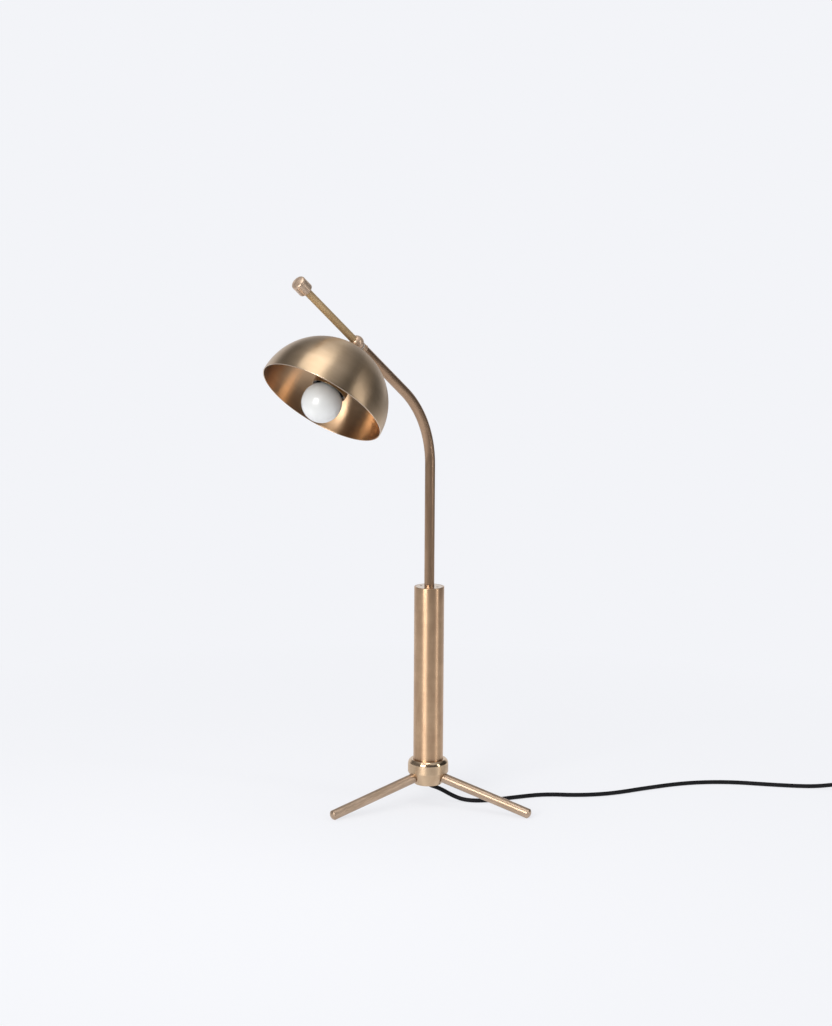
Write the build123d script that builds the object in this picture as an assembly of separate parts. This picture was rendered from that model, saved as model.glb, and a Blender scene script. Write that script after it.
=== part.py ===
from build123d import *
import os
from math import asin, cos, pi, radians, sin, sqrt, tan

# Brass desk lamp. Three rod legs and a turned hub carry a column tube. A bent stem turns in the
# column, and a domed shade hangs on a ball that swivels in the stem's end.
# Millimetres and degrees. The origin is on the table under the middle of the lamp's own box,
# +Z is up, and the leg under the shade points along -X.

# Fits between pieces
THREAD_GAP = 0.05
RUNNING_GAP = 0.05
FACE_GAP = 0.1
TABLE_GAP = 0.05

# Legs and their studs
LEG_COUNT = 3
LEG_DIAMETER = 12.7
LEG_SLOPE = 14.3
LEG_REACH = 146.5
LEG_SEAT = 22.9
TIP_DOME = 3.1
TIP_EDGE = 0.8
TIP_FLAT = 0.45
STUD_DIAMETER = 6.0
STUD_IN_HUB = 12.0
STUD_IN_LEG = 10.0

# Hub, from its tapered foot up to the shoulder round the column tube
HUB_BELOW_LEGS = 15.2
FOOT_DIAMETER = 34.8
FOOT_CHAMFER = 0.6
RECESS_WALL = 3.0
RECESS_DEPTH = 5.5
COLLAR_ABOVE_LEGS = 1.0
COLLAR_DIAMETER = 51.9
COLLAR_HEIGHT = 10.8
SHOULDER_HEIGHT = 5.8
SHOULDER_BULGE = 0.85
SHOULDER_LIP = 3.4
SOCKET_DEPTH = 12.5
SET_SCREW_DIAMETER = 5.0
SET_SCREW_DROP = 3.5
SET_SCREW_DEPTH = 0.9

# Column tube and its screwed top cap with two spanner holes
COLUMN_DIAMETER = 38.1
COLUMN_WALL = 2.0
COLUMN_LENGTH = 237.0
COLUMN_EDGE = 0.4
CAP_THICKNESS = 8.0
SPANNER_HOLE = 3.0
SPANNER_CIRCLE = 22.0
SPANNER_DEPTH = 3.0
SPANNER_ANGLE = 126.0

# Bearing of the stem inside the column
BUSH_DEPTH = 62.0
BUSH_THICKNESS = 10.0
FRICTION_THICKNESS = 1.0
STOP_DIAMETER = 23.0
STOP_THICKNESS = 7.5
GRUB_DIAMETER = 3.0

# Stem, bent from one tube: the corner is where its two straight lines would meet
STEM_DIAMETER = 12.7
STEM_WALL = 1.2
STEM_IN_COLUMN = 88.0
STEM_RISE = 214.3
STEM_BEND_RADIUS = 123.0
ARM_RISE = 39.3
ARM_REACH = 161.0
STEM_YAW = 10.8

# Ball, and the ferrule that it swivels in
BALL_DIAMETER = 17.8
STUB_DIAMETER = 9.0
STUB_REACH = 22.0
GROOVE_DEPTH = 0.6
GROOVE_WIDTH = 3.4
HEAD_TURN = 90.0
GROOVE_EASE = 25.0
LEAD_BORE = 4.4
NECK_DIAMETER = 12.0
NECK_REACH = 8.2
FERRULE_START = 8.8
FERRULE_LENGTH = 6.2
FERRULE_TAIL = 11.0
SWIVEL_WASHER = 0.8
FERRULE_SCREW = 2.5
FERRULE_SCREW_HEAD = 3.4
FERRULE_SCREW_TILT = 30.0

# Handle rod and end cap
ROD_DIAMETER = 9.5
ROD_START = 7.2
ROD_LENGTH = 108.6
ROD_SPIGOT = 6.0
ROD_SPIGOT_LENGTH = 4.0
END_CAP_DIAMETER = 18.4
END_CAP_LENGTH = 18.0
END_CAP_DOME = 2.2
END_CAP_EDGE = 1.0
ROD_IN_CAP = 11.0

# Shade, and what clamps it to the ball
SHADE_RADIUS = 80.0
SHADE_WALL = 1.2
SHADE_SEAT = 16.0
SEAT_WASHER = 1.0
SEAT_WASHER_DIAMETER = 14.0
NIPPLE_DIAMETER = 8.0
NIPPLE_BORE = 5.2
NIPPLE_IN_BALL = 3.6
NIPPLE_LENGTH = 16.4
NUT_FLATS = 13.0
NUT_THICKNESS = 3.0

# Socket cup and lampholder
CUP_DIAMETER = 44.4
CUP_WALL = 1.0
CUP_LENGTH = 55.9
CUP_SHOULDER = 6.0
HOLDER_GAP = 0.2
HOLDER_CAP_LENGTH = 14.4
HOLDER_CAP_ROOF = 5.1
HOLDER_CHAMBER = 30.0
HOLDER_LENGTH = 43.0
HOLDER_FLOOR = 4.2
HOLDER_MOUTH = 36.6
HOLDER_MOUTH_DEPTH = 9.8
SHELL_DIAMETER = 28.8
SHELL_WALL = 0.8
SHELL_DEPTH = 3.0
SHELL_LENGTH = 22.0
SHELL_EYE = 16.0
HOLDER_EDGE = 1.0
CONTACT_HEIGHT = 4.4
CONTACT_ROOT = 9.6
CONTACT_WIDTH = 6.0
CONTACT_THICKNESS = 0.6

# Globe bulb
BULB_DIAMETER = 49.0
BULB_REACH = 51.4
BULB_NECK = 25.2
BULB_NECK_FILLET = 6.0
BULB_GLASS = 0.9
BASE_DIAMETER = 26.2
BASE_WALL = 0.4
BASE_LENGTH = 20.5
BASE_TAPER = 2.2
GLASS_IN_BASE = 4.5
INSULATOR_LENGTH = 2.2
BULB_CONTACT = 1.0
BULB_CONTACT_DIAMETER = 9.6

# Gland, terminal block and inner leads
CORD_DIAMETER = 5.5
CORD_EXIT = 4.6
CORD_FILLET_SHARE = 0.45
SWITCH_APPROACH = 13.75
GLAND_DIAMETER = 11.0
GLAND_TIP = 8.6
GLAND_FLANGE = 16.0
GLAND_FLANGE_THICKNESS = 4.4
GLAND_PROUD = 1.0
CORD_STOP_DIAMETER = 13.0
CORD_STOP_LENGTH = 6.0
BLOCK_LENGTH = 22.0
BLOCK_WIDTH = 20.0
BLOCK_DEPTH = 14.0
BLOCK_RISE = 38.0
TERMINAL_SCREW = 4.0
LEAD_DIAMETER = 3.2
LEAD_BEND = 3.0
LEAD_IN_CHAMBER = 6.0

# In-line switch on the table, past the lamp, with a tapered sleeve on the cord at each end
CORD_ENTRY = (583.0, -237.0)
SWITCH_YAW = -34.5
SWITCH_SLEEVE = 22.0
SWITCH_SLEEVE_ROOT = 10.4
SWITCH_SLEEVE_TIP = 7.6
SWITCH_LENGTH = 60.0
SWITCH_WIDTH = 25.0
SWITCH_HEIGHT = 17.0
SWITCH_SPLIT = 8.0
SWITCH_CORNER = 8.0
SWITCH_EDGE = 2.0
SWITCH_WALL = 2.0
SWITCH_CORD_HEIGHT = 6.5
ROCKER_LENGTH = 17.2
ROCKER_WIDTH = 11.0
ROCKER_DEPTH = 4.5
ROCKER_PROUD = 2.0
ROCKER_DISH = 1.4
ROCKER_TILT = 8.0
ROCKER_GAP = 0.3
ROCKER_PLAY = 1.3
TRUNNION_DIAMETER = 3.0
CHEEK_THICKNESS = 2.0
SWITCH_SCREW = 3.0
SWITCH_SCREW_HEAD = 5.4
SWITCH_SCREW_INSET = 4.8

# Put-away coil, its tie and the plug
COIL_OUTER_RADIUS = 38.5
COIL_PITCH = 6.1
COIL_TURNS_IN = 2.5
COIL_CLIMB_TURN = 0.5
COIL_SAMPLES = 96
COIL_LEAD = 38.0
TIE_WIDTH = 7.0
TIE_THICKNESS = 0.6
TIE_GAP = 0.4
TIE_FLOOR_GAP = 0.15
PLUG_LEAD = 10.0
SLEEVE_LENGTH = 24.0
SLEEVE_END = 8.0
SLEEVE_ROOT = 12.0
PLUG_LENGTH = 30.0
PLUG_WIDTH = 25.0
PLUG_CORNER = 4.0
BLADE_SPACING = 12.7
BLADE_HEIGHT = 6.35
BLADE_THICKNESS = 1.5
BLADE_LENGTH = 17.0
BLADE_ROOT = 6.0

# Heights of the base, stacked from the table up
leg_radius = LEG_DIAMETER / 2
slope_out = cos(radians(LEG_SLOPE))
slope_down = sin(radians(LEG_SLOPE))
leg_root_height = LEG_REACH * slope_down + leg_radius * slope_out - TIP_FLAT
hub_bottom = leg_root_height - HUB_BELOW_LEGS
recess_roof = hub_bottom + RECESS_DEPTH
collar_bottom = leg_root_height + COLLAR_ABOVE_LEGS
shoulder_bottom = collar_bottom + COLLAR_HEIGHT
hub_top = shoulder_bottom + SHOULDER_HEIGHT
tube_seat = hub_top - SOCKET_DEPTH
column_top = tube_seat + COLUMN_LENGTH
bush_top = column_top - BUSH_DEPTH
stem_bottom = column_top - STEM_IN_COLUMN
stem_corner = column_top + STEM_RISE

# Distances down the shade's axis, from the ball's centre
seat_drop = NECK_REACH + SEAT_WASHER
seat_height = sqrt(SHADE_RADIUS**2 - (SHADE_SEAT / 2) ** 2)
rim_drop = seat_drop + seat_height
nut_drop = seat_drop + SHADE_WALL
cup_drop = nut_drop + NUT_THICKNESS
holder_drop = cup_drop + CUP_WALL
split_drop = holder_drop + HOLDER_CAP_LENGTH
floor_drop = split_drop + HOLDER_FLOOR
mouth_drop = split_drop + HOLDER_LENGTH
contact_drop = floor_drop + CONTACT_HEIGHT
globe_drop = contact_drop + BULB_REACH

# The column stands beside the origin, so that the lamp's own box is centred on it
arm_run = ARM_REACH * cos(radians(ARM_RISE))
arm_climb = ARM_REACH * sin(radians(ARM_RISE))
shade_lean = sin(radians(ARM_RISE)) * cos(radians(STEM_YAW))
shade_middle = (arm_run + rim_drop * sin(radians(ARM_RISE))) * cos(radians(STEM_YAW))
shade_reach = shade_middle + SHADE_RADIUS * sqrt(1 - shade_lean**2)
leg_way_back = slope_out * cos(pi / LEG_COUNT)
leg_reach = LEG_REACH * leg_way_back + leg_radius * sqrt(1 - leg_way_back**2)
column_x = (shade_reach - leg_reach) / 2

# Frames of the column, the stem and the head. In the head's frame X runs along the arm towards
# the stem and Z up the shade's axis, with the ball's centre at the origin.
column_frame = Location((column_x, 0, 0))
stem_frame = column_frame * Location((0, 0, 0), (0, 0, STEM_YAW))
ball_plane = Plane(
    origin=(-arm_run, 0, stem_corner + arm_climb),
    x_dir=(cos(radians(ARM_RISE)), 0, -sin(radians(ARM_RISE))),
    z_dir=(sin(radians(ARM_RISE)), 0, cos(radians(ARM_RISE))),
)
head_frame = stem_frame * ball_plane.location
sleeve_frame = Location((CORD_ENTRY[0], CORD_ENTRY[1], 0), (0, 0, SWITCH_YAW))
switch_frame = sleeve_frame * Location((SWITCH_SLEEVE, 0, 0))
coil_lead_start = SWITCH_LENGTH + SWITCH_SLEEVE
coil_frame = switch_frame * Location((coil_lead_start + COIL_LEAD, COIL_OUTER_RADIUS, 0))
coil_floor = TABLE_GAP + TIE_THICKNESS + TIE_FLOOR_GAP + CORD_DIAMETER / 2
plug_height = 2 * (coil_floor + COIL_PITCH - TABLE_GAP)

nodes = {}


def disc(diameter, low, high):
    """A round bar about Z between two heights."""
    on_foot = (Align.CENTER, Align.CENTER, Align.MIN)
    return Pos(0, 0, low) * Cylinder(diameter / 2, high - low, align=on_foot)


def ring(diameter, bore, low, high):
    """A washer or sleeve about Z between two heights."""
    return disc(diameter, low, high) - disc(bore, low, high)


def outline(*points):
    """A closed outline of straight lines through (radius, height) points."""
    return Polyline(*[(radius, 0, height) for radius, height in points], close=True)


def turned(edges):
    """A solid turned about Z from its half outline."""
    return revolve(make_face(edges), Axis.Z)


def domed_bar(diameter, low, high, dome, edge):
    """A round bar about Z whose upper end is a shallow dome with a rounded edge."""
    radius = diameter / 2
    dome_radius = (radius**2 + dome**2) / (2 * dome)
    half_way = asin(radius / dome_radius) / 2
    side_end = (radius, 0, high - dome)
    dome_middle = (dome_radius * sin(half_way), 0, high - dome_radius * (1 - cos(half_way)))
    edges = Polyline((0, 0, high), (0, 0, low), (radius, 0, low), side_end)
    bar = turned(edges + ThreePointArc(side_end, dome_middle, (0, 0, high)))
    rims = bar.edges().filter_by(lambda rim: rim.is_closed).sort_by(Axis.Z)
    return fillet(rims[-1], edge)


def tube(path, diameter, bore=0.0):
    """A round tube or rod swept along a path."""
    section = Circle(diameter / 2)
    if bore:
        section -= Circle(bore / 2)
    return sweep(Plane(origin=path @ 0, z_dir=path % 0) * section, path=path)


def pointing(origin, direction):
    """Where to put a piece modelled about Z, so that its axis leaves a point in a direction."""
    return Plane(origin=origin, z_dir=direction).location


# Legs: one rod each, with a domed tip, screwed on a stud that the hub holds. The lower corner of
# the tip is filed flat where it rests on the table.
leg_frame = pointing((0, 0, leg_root_height), (-slope_out, 0, -slope_down))
stud_hole = STUD_DIAMETER + 2 * THREAD_GAP
stud_start = LEG_SEAT - STUD_IN_HUB
stud_end = LEG_SEAT + STUD_IN_LEG


def around(index):
    """The turn from the leg under the shade to another leg."""
    return column_frame * Location((0, 0, 0), (0, 0, 360 / LEG_COUNT * index))


def leg():
    rod = domed_bar(LEG_DIAMETER, LEG_SEAT, LEG_REACH + TIP_DOME, TIP_DOME, TIP_EDGE)
    rod -= disc(stud_hole, LEG_SEAT, stud_end + FACE_GAP)
    below_table = Pos(-LEG_REACH, 0, -leg_radius) * Box(4 * LEG_DIAMETER, LEG_DIAMETER, LEG_DIAMETER)
    return leg_frame * rod - below_table


for index, name in enumerate(("leg_front", "leg_right", "leg_back")):
    nodes[name] = around(index) * leg()
stud = leg_frame * disc(STUD_DIAMETER, stud_start, stud_end)
nodes["leg_studs"] = Compound([(around(index) * stud).solid() for index in range(LEG_COUNT)])

# Hub: turned in one piece, with a socket for the column tube on top, a recess for the cord
# underneath, and a flat drilled seat for each leg in its tapered foot
foot_radius = FOOT_DIAMETER / 2
recess_radius = foot_radius - RECESS_WALL
collar_radius = COLLAR_DIAMETER / 2
socket_radius = COLUMN_DIAMETER / 2 + THREAD_GAP
gland_hole = GLAND_DIAMETER + 2 * THREAD_GAP


def hub():
    lip_radius = socket_radius + SHOULDER_LIP
    shoulder_foot = (collar_radius, 0, shoulder_bottom)
    shoulder_top = (lip_radius, 0, hub_top)
    run = collar_radius - lip_radius
    slant = sqrt(run**2 + SHOULDER_HEIGHT**2)
    shoulder_middle = (
        (collar_radius + lip_radius) / 2 + SHOULDER_BULGE * SHOULDER_HEIGHT / slant,
        0,
        shoulder_bottom + SHOULDER_HEIGHT / 2 + SHOULDER_BULGE * run / slant,
    )
    inside_and_foot = Polyline(
        shoulder_top,
        (socket_radius, 0, hub_top),
        (socket_radius, 0, tube_seat),
        (gland_hole / 2, 0, tube_seat),
        (gland_hole / 2, 0, recess_roof),
        (recess_radius, 0, recess_roof),
        (recess_radius, 0, hub_bottom),
        (foot_radius - FOOT_CHAMFER, 0, hub_bottom),
        (foot_radius, 0, hub_bottom + FOOT_CHAMFER),
        (collar_radius, 0, collar_bottom),
        shoulder_foot,
    )
    body = turned(inside_and_foot + ThreePointArc(shoulder_foot, shoulder_middle, shoulder_top))
    leg_seat = disc(LEG_DIAMETER + 2 * THREAD_GAP, LEG_SEAT, LEG_SEAT + COLLAR_DIAMETER)
    stud_seat = disc(stud_hole, stud_start - FACE_GAP, LEG_SEAT)
    for index in range(LEG_COUNT):
        body -= Rot(0, 0, 360 / LEG_COUNT * index) * leg_frame * (leg_seat + stud_seat)
    return body - set_screw_place * disc(SET_SCREW_DIAMETER + 2 * THREAD_GAP, 0, collar_radius)


# Set screw: a headless screw in the back of the collar that holds the column tube
set_screw_end = collar_radius - SET_SCREW_DEPTH
set_screw_place = pointing((0, 0, shoulder_bottom - SET_SCREW_DROP), (1, 0, 0))
nodes["hub"] = column_frame * hub()
set_screw = disc(SET_SCREW_DIAMETER, COLUMN_DIAMETER / 2 + FACE_GAP, set_screw_end)
set_screw_key = Pos(0, 0, set_screw_end) * extrude(
    RegularPolygon(SET_SCREW_DIAMETER / 4, 6), -SET_SCREW_DIAMETER / 2
)
nodes["hub_set_screw"] = column_frame * set_screw_place * (set_screw - set_screw_key)

# Column tube, and the top cap that screws into it
column_bore = COLUMN_DIAMETER - 2 * COLUMN_WALL
stem_hole = STEM_DIAMETER + 2 * RUNNING_GAP
column = ring(COLUMN_DIAMETER, column_bore, tube_seat, column_top)
column_edge = column.edges().filter_by(GeomType.CIRCLE).group_by(Axis.Z)[-1].sort_by(SortBy.RADIUS)[-1]
nodes["column_tube"] = column_frame * chamfer(column_edge, COLUMN_EDGE)


def column_top_cap():
    cap = ring(column_bore - 2 * THREAD_GAP, stem_hole, column_top - CAP_THICKNESS, column_top)
    for turn in (0, 180):
        hole = Pos(SPANNER_CIRCLE / 2, 0, 0) * disc(SPANNER_HOLE, column_top - SPANNER_DEPTH, column_top)
        cap -= Rot(0, 0, SPANNER_ANGLE + turn) * hole
    return cap


nodes["column_top_cap"] = column_frame * column_top_cap()

# Bearing of the stem: it stands on a thrust collar over a fixed bush, with a fibre washer between
# for friction, and a second collar under the bush keeps it from lifting out
friction_top = bush_top + FACE_GAP + FRICTION_THICKNESS
keeper_top = bush_top - BUSH_THICKNESS - FACE_GAP
nodes["lower_bush"] = column_frame * ring(
    column_bore - 2 * THREAD_GAP, stem_hole, bush_top - BUSH_THICKNESS, bush_top
)
nodes["friction_washer"] = stem_frame * ring(
    STOP_DIAMETER, stem_hole, bush_top + FACE_GAP, friction_top
)
grub_hole = GRUB_DIAMETER + 2 * THREAD_GAP


def stop_ring(low):
    """A collar fixed on the stem, with a tapped hole for its grub screw."""
    body = ring(STOP_DIAMETER, stem_hole, low, low + STOP_THICKNESS)
    return body - grub_place(low) * disc(grub_hole, 0, STOP_DIAMETER)


def grub_place(low):
    return pointing((0, 0, low + STOP_THICKNESS / 2), (1, 0, 0))


def grub(low):
    return stem_frame * grub_place(low) * disc(
        GRUB_DIAMETER, STEM_DIAMETER / 2 + FACE_GAP, STOP_DIAMETER / 2 - FACE_GAP
    )


keeper_low = keeper_top - STOP_THICKNESS
nodes["thrust_collar"] = stem_frame * stop_ring(friction_top)
nodes["retaining_collar"] = stem_frame * stop_ring(keeper_low)
nodes["collar_grub_screws"] = Compound([grub(friction_top).solid(), grub(keeper_low).solid()])

# Stem: one tube, straight through the column, bent over and straight again to the ferrule
stem_bore = STEM_DIAMETER - 2 * STEM_WALL
ferrule_end = FERRULE_START + FERRULE_LENGTH


def along_arm(distance):
    """A point on the arm's axis, this far from the ball's centre towards the stem."""
    reach = ARM_REACH - distance
    return (-reach * cos(radians(ARM_RISE)), 0, stem_corner + reach * sin(radians(ARM_RISE)))


def stem_path(low, distance):
    return FilletPolyline(
        (0, 0, low), (0, 0, stem_corner), along_arm(distance), radius=STEM_BEND_RADIUS
    )


nodes["stem_tube"] = stem_frame * tube(stem_path(stem_bottom, ferrule_end), STEM_DIAMETER, stem_bore)

# Arm ferrule: a sleeve let into the stem's end. The ball's stub turns in it, and the tip of a
# small screw runs in the stub's groove, so that the ball turns but can't pull out.
along_stub = Rot(0, 90, 0)
groove_middle = FERRULE_START + FERRULE_LENGTH / 2
groove_diameter = STUB_DIAMETER - 2 * GROOVE_DEPTH
stub_hole = STUB_DIAMETER + 2 * RUNNING_GAP
ferrule_screw_place = Pos(groove_middle, 0, 0) * Rot(90 - FERRULE_SCREW_TILT, 0, 0)


def arm_ferrule():
    sleeve = disc(STEM_DIAMETER, FERRULE_START, ferrule_end)
    tail = disc(stem_bore - 2 * THREAD_GAP, ferrule_end, ferrule_end + FERRULE_TAIL)
    bore = disc(stub_hole, FERRULE_START, ferrule_end + FERRULE_TAIL)
    screw_hole = ferrule_screw_place * disc(FERRULE_SCREW + 2 * THREAD_GAP, 0, STEM_DIAMETER)
    return along_stub * (sleeve + tail - bore) - screw_hole


def ferrule_screw():
    shank = disc(FERRULE_SCREW, groove_diameter / 2 + 3 * FACE_GAP, STEM_DIAMETER / 2 + FACE_GAP)
    head_low = STEM_DIAMETER / 2 + FACE_GAP
    head = disc(FERRULE_SCREW_HEAD, head_low, head_low + FERRULE_SCREW_HEAD / 4)
    rim = head.edges().group_by(Axis.Z)[-1]
    return ferrule_screw_place * (shank + fillet(rim, FERRULE_SCREW_HEAD / 8))


nodes["arm_ferrule"] = head_frame * arm_ferrule()
nodes["ferrule_screw"] = head_frame * ferrule_screw()
nodes["swivel_washer"] = head_frame * along_stub * ring(
    STEM_DIAMETER - 2 * SWIVEL_WASHER, stub_hole, FERRULE_START - SWIVEL_WASHER, FERRULE_START
)

# Ball: turned with its hollow stub and its neck. The lead comes through the stub, round the corner
# and down through the neck, and the handle rod screws into the far side.
rod_hole = ROD_SPIGOT + 2 * THREAD_GAP
nipple_hole = NIPPLE_DIAMETER + 2 * THREAD_GAP
nipple_top = NIPPLE_IN_BALL - NECK_REACH
neck_down = Rot(180, 0, 0)
away = Rot(0, -90, 0)


def stub_groove():
    """Part of a groove round the stub. Its two ends stop the screw's tip past each end of the turn."""
    half = GROOVE_WIDTH / 2
    floor = groove_diameter / 2
    section = Polyline(
        (-half, 0, floor), (half, 0, floor), (half, 0, BALL_DIAMETER), (-half, 0, BALL_DIAMETER), close=True
    )
    span = 2 * (HEAD_TURN + GROOVE_EASE)
    return ferrule_screw_place * revolve(Rot(-span / 2, 0, 0) * make_face(section), Axis.X, span)


def knuckle_ball():
    ball = Sphere(BALL_DIAMETER / 2)
    ball += along_stub * disc(STUB_DIAMETER, 0, STUB_REACH)
    ball += neck_down * disc(NECK_DIAMETER, 0, NECK_REACH)
    ball -= stub_groove()
    ball -= away * disc(2 * BALL_DIAMETER, ROD_START, BALL_DIAMETER)
    ball -= away * disc(rod_hole, ROD_START - ROD_SPIGOT_LENGTH - FACE_GAP, ROD_START)
    lead_way = Sphere(LEAD_BORE / 2)
    lead_way += along_stub * disc(LEAD_BORE, 0, BALL_DIAMETER + STUB_REACH)
    lead_way += neck_down * disc(LEAD_BORE, 0, BALL_DIAMETER)
    lead_way += neck_down * disc(nipple_hole, -nipple_top, BALL_DIAMETER)
    return ball - lead_way


nodes["knuckle_ball"] = head_frame * knuckle_ball()

# Handle rod and its end cap: the shade is turned by them
rod_end = ROD_START + ROD_LENGTH
end_cap_low = rod_end - ROD_IN_CAP
end_cap_top = end_cap_low + END_CAP_LENGTH


def handle_rod():
    spigot = disc(ROD_SPIGOT, ROD_START - ROD_SPIGOT_LENGTH, ROD_START)
    return away * (disc(ROD_DIAMETER, ROD_START, rod_end) + spigot)


def handle_cap():
    blank = domed_bar(END_CAP_DIAMETER, end_cap_low, end_cap_top, END_CAP_DOME, END_CAP_EDGE)
    blank = chamfer(blank.edges().group_by(Axis.Z)[0], END_CAP_EDGE / 2)
    return away * (blank - disc(ROD_DIAMETER + 2 * THREAD_GAP, end_cap_low, rod_end + FACE_GAP))


nodes["handle_rod"] = head_frame * handle_rod()
nodes["handle_cap"] = head_frame * handle_cap()

# Shade: a spun hemisphere with a small flat seat at its top and a rounded rim
nipple_way = NIPPLE_DIAMETER / 2 + FACE_GAP


def shade():
    outer = SHADE_RADIUS
    inner = SHADE_RADIUS - SHADE_WALL
    middle = radians(45)
    inner_height = seat_height - SHADE_WALL
    outer_seat = (SHADE_SEAT / 2, 0, seat_height)
    inner_seat = (sqrt(inner**2 - inner_height**2), 0, inner_height)
    edges = ThreePointArc((outer, 0, 0), (outer * cos(middle), 0, outer * sin(middle)), outer_seat)
    edges += Polyline(
        outer_seat, (nipple_way, 0, seat_height), (nipple_way, 0, inner_height), inner_seat
    )
    edges += ThreePointArc(inner_seat, (inner * cos(middle), 0, inner * sin(middle)), (inner, 0, 0))
    edges += ThreePointArc((inner, 0, 0), (outer - SHADE_WALL / 2, 0, -SHADE_WALL / 2), (outer, 0, 0))
    return Pos(0, 0, -rim_drop) * turned(edges)


nodes["shade_washer"] = head_frame * ring(SEAT_WASHER_DIAMETER, 2 * nipple_way, -seat_drop, -NECK_REACH)
nodes["shade"] = head_frame * shade()

# Nipple and nut: a hollow threaded tube from the ball to the lampholder, and the nut under the shade
nipple_bottom = nipple_top - NIPPLE_LENGTH
nodes["nipple"] = head_frame * ring(NIPPLE_DIAMETER, NIPPLE_BORE, nipple_bottom, nipple_top)
nut_blank = Pos(0, 0, -cup_drop) * extrude(
    RegularPolygon(NUT_FLATS / 2, 6, major_radius=False), NUT_THICKNESS
)
nodes["shade_nut"] = head_frame * (nut_blank - disc(nipple_hole, -cup_drop, -nut_drop))

# Socket cup: a drawn brass cup round the lampholder
cup_radius = CUP_DIAMETER / 2
cup_bottom = -cup_drop - CUP_LENGTH
holder_radius = cup_radius - CUP_WALL - HOLDER_GAP


def socket_cup():
    blank = disc(CUP_DIAMETER, cup_bottom, -cup_drop)
    blank = fillet(blank.edges().group_by(Axis.Z)[-1], CUP_SHOULDER)
    hollow = disc(CUP_DIAMETER - 2 * CUP_WALL, cup_bottom, -holder_drop)
    hollow = fillet(hollow.edges().group_by(Axis.Z)[-1], CUP_SHOULDER - CUP_WALL)
    return blank - hollow - disc(2 * nipple_way, cup_bottom, -cup_drop)


nodes["socket_cup"] = head_frame * socket_cup()

# Lampholder: a black cap screwed on the nipple, a black body with the mouth for the bulb,
# a screw shell and a sprung centre contact
chamber_top = -holder_drop - HOLDER_CAP_ROOF


def lampholder_cap():
    blank = disc(2 * holder_radius, -split_drop, -holder_drop)
    blank = chamfer(blank.edges().group_by(Axis.Z)[-1], CUP_SHOULDER)
    blank -= disc(HOLDER_CHAMBER, -split_drop, chamber_top)
    return blank - disc(nipple_hole, chamber_top, -holder_drop)


def lampholder_body():
    shell_hole = SHELL_DIAMETER + 2 * THREAD_GAP
    body = disc(2 * holder_radius, -mouth_drop, -split_drop)
    body = fillet(body.edges().group_by(Axis.Z)[0], HOLDER_EDGE)
    body -= disc(shell_hole, -mouth_drop, -floor_drop)
    return body - disc(HOLDER_MOUTH, -mouth_drop, HOLDER_MOUTH_DEPTH - mouth_drop)


def screw_shell():
    top = -floor_drop - SHELL_DEPTH
    bore = SHELL_DIAMETER - 2 * SHELL_WALL
    wall = ring(SHELL_DIAMETER, bore, top - SHELL_LENGTH, top)
    return wall + ring(bore, SHELL_EYE, top - SHELL_WALL, top)


def centre_contact():
    top = -floor_drop
    tip = -contact_drop + FACE_GAP
    reach = SHELL_EYE / 4
    strip = Polyline(
        (-CONTACT_ROOT, 0, top),
        (-reach, 0, top),
        (reach / 3, 0, tip + CONTACT_THICKNESS),
        (reach, 0, tip + CONTACT_THICKNESS),
        (reach, 0, tip),
        (reach / 3 - CONTACT_THICKNESS / 2, 0, tip),
        (-reach - CONTACT_THICKNESS / 2, 0, top - CONTACT_THICKNESS),
        (-CONTACT_ROOT, 0, top - CONTACT_THICKNESS),
        close=True,
    )
    return extrude(make_face(strip), CONTACT_WIDTH / 2, dir=(0, 1, 0), both=True)


nodes["lampholder_cap"] = head_frame * lampholder_cap()
nodes["lampholder_body"] = head_frame * lampholder_body()
nodes["screw_shell"] = head_frame * screw_shell()
nodes["centre_contact"] = head_frame * centre_contact()

# Bulb: a frosted glass globe drawn in to a neck, cemented into a screw base
bulb_frame = head_frame * Location((0, 0, -globe_drop))
base_top = BULB_REACH - BULB_CONTACT - INSULATOR_LENGTH
base_low = base_top - BASE_LENGTH


def globe_glass(inset):
    """Half outline of the globe and neck, moved in by the glass from its outer face."""
    globe = BULB_DIAMETER / 2 - inset
    neck = BULB_NECK / 2 - inset
    blend = BULB_NECK_FILLET + inset
    blend_radius = neck + blend
    blend_height = sqrt((globe + blend) ** 2 - blend_radius**2)
    share = globe / (globe + blend)
    join = (blend_radius * share, 0, blend_height * share)
    neck_foot = (neck, 0, blend_height)
    halfway = Vector(join[0] + neck_foot[0] - 2 * blend_radius, 0, join[2] - blend_height)
    middle = halfway.normalized() * blend
    pole = Vector(join[0], 0, join[2] - globe).normalized() * globe
    neck_end = base_low + GLASS_IN_BASE
    edges = ThreePointArc((0, 0, -globe), tuple(pole), join)
    edges += ThreePointArc(join, (blend_radius + middle.X, 0, blend_height + middle.Z), neck_foot)
    return edges + Polyline(neck_foot, (neck, 0, neck_end), (0, 0, neck_end), (0, 0, -globe))


def bulb_base():
    outer = BASE_DIAMETER / 2
    inner = outer - BASE_WALL
    crown = BULB_CONTACT_DIAMETER / 2 + BASE_TAPER
    shoulder = base_top - BASE_TAPER
    return turned(
        outline(
            (inner, base_low),
            (outer, base_low),
            (outer, shoulder),
            (crown, base_top),
            (crown - BASE_WALL, base_top - BASE_WALL),
            (inner, shoulder - BASE_WALL),
        )
    )


def bulb_insulator():
    low = (BULB_CONTACT_DIAMETER / 2 + BASE_TAPER, base_top)
    high = (BULB_CONTACT_DIAMETER / 2, base_top + INSULATOR_LENGTH)
    return turned(outline((0, low[1]), low, high, (0, high[1])))


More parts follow.
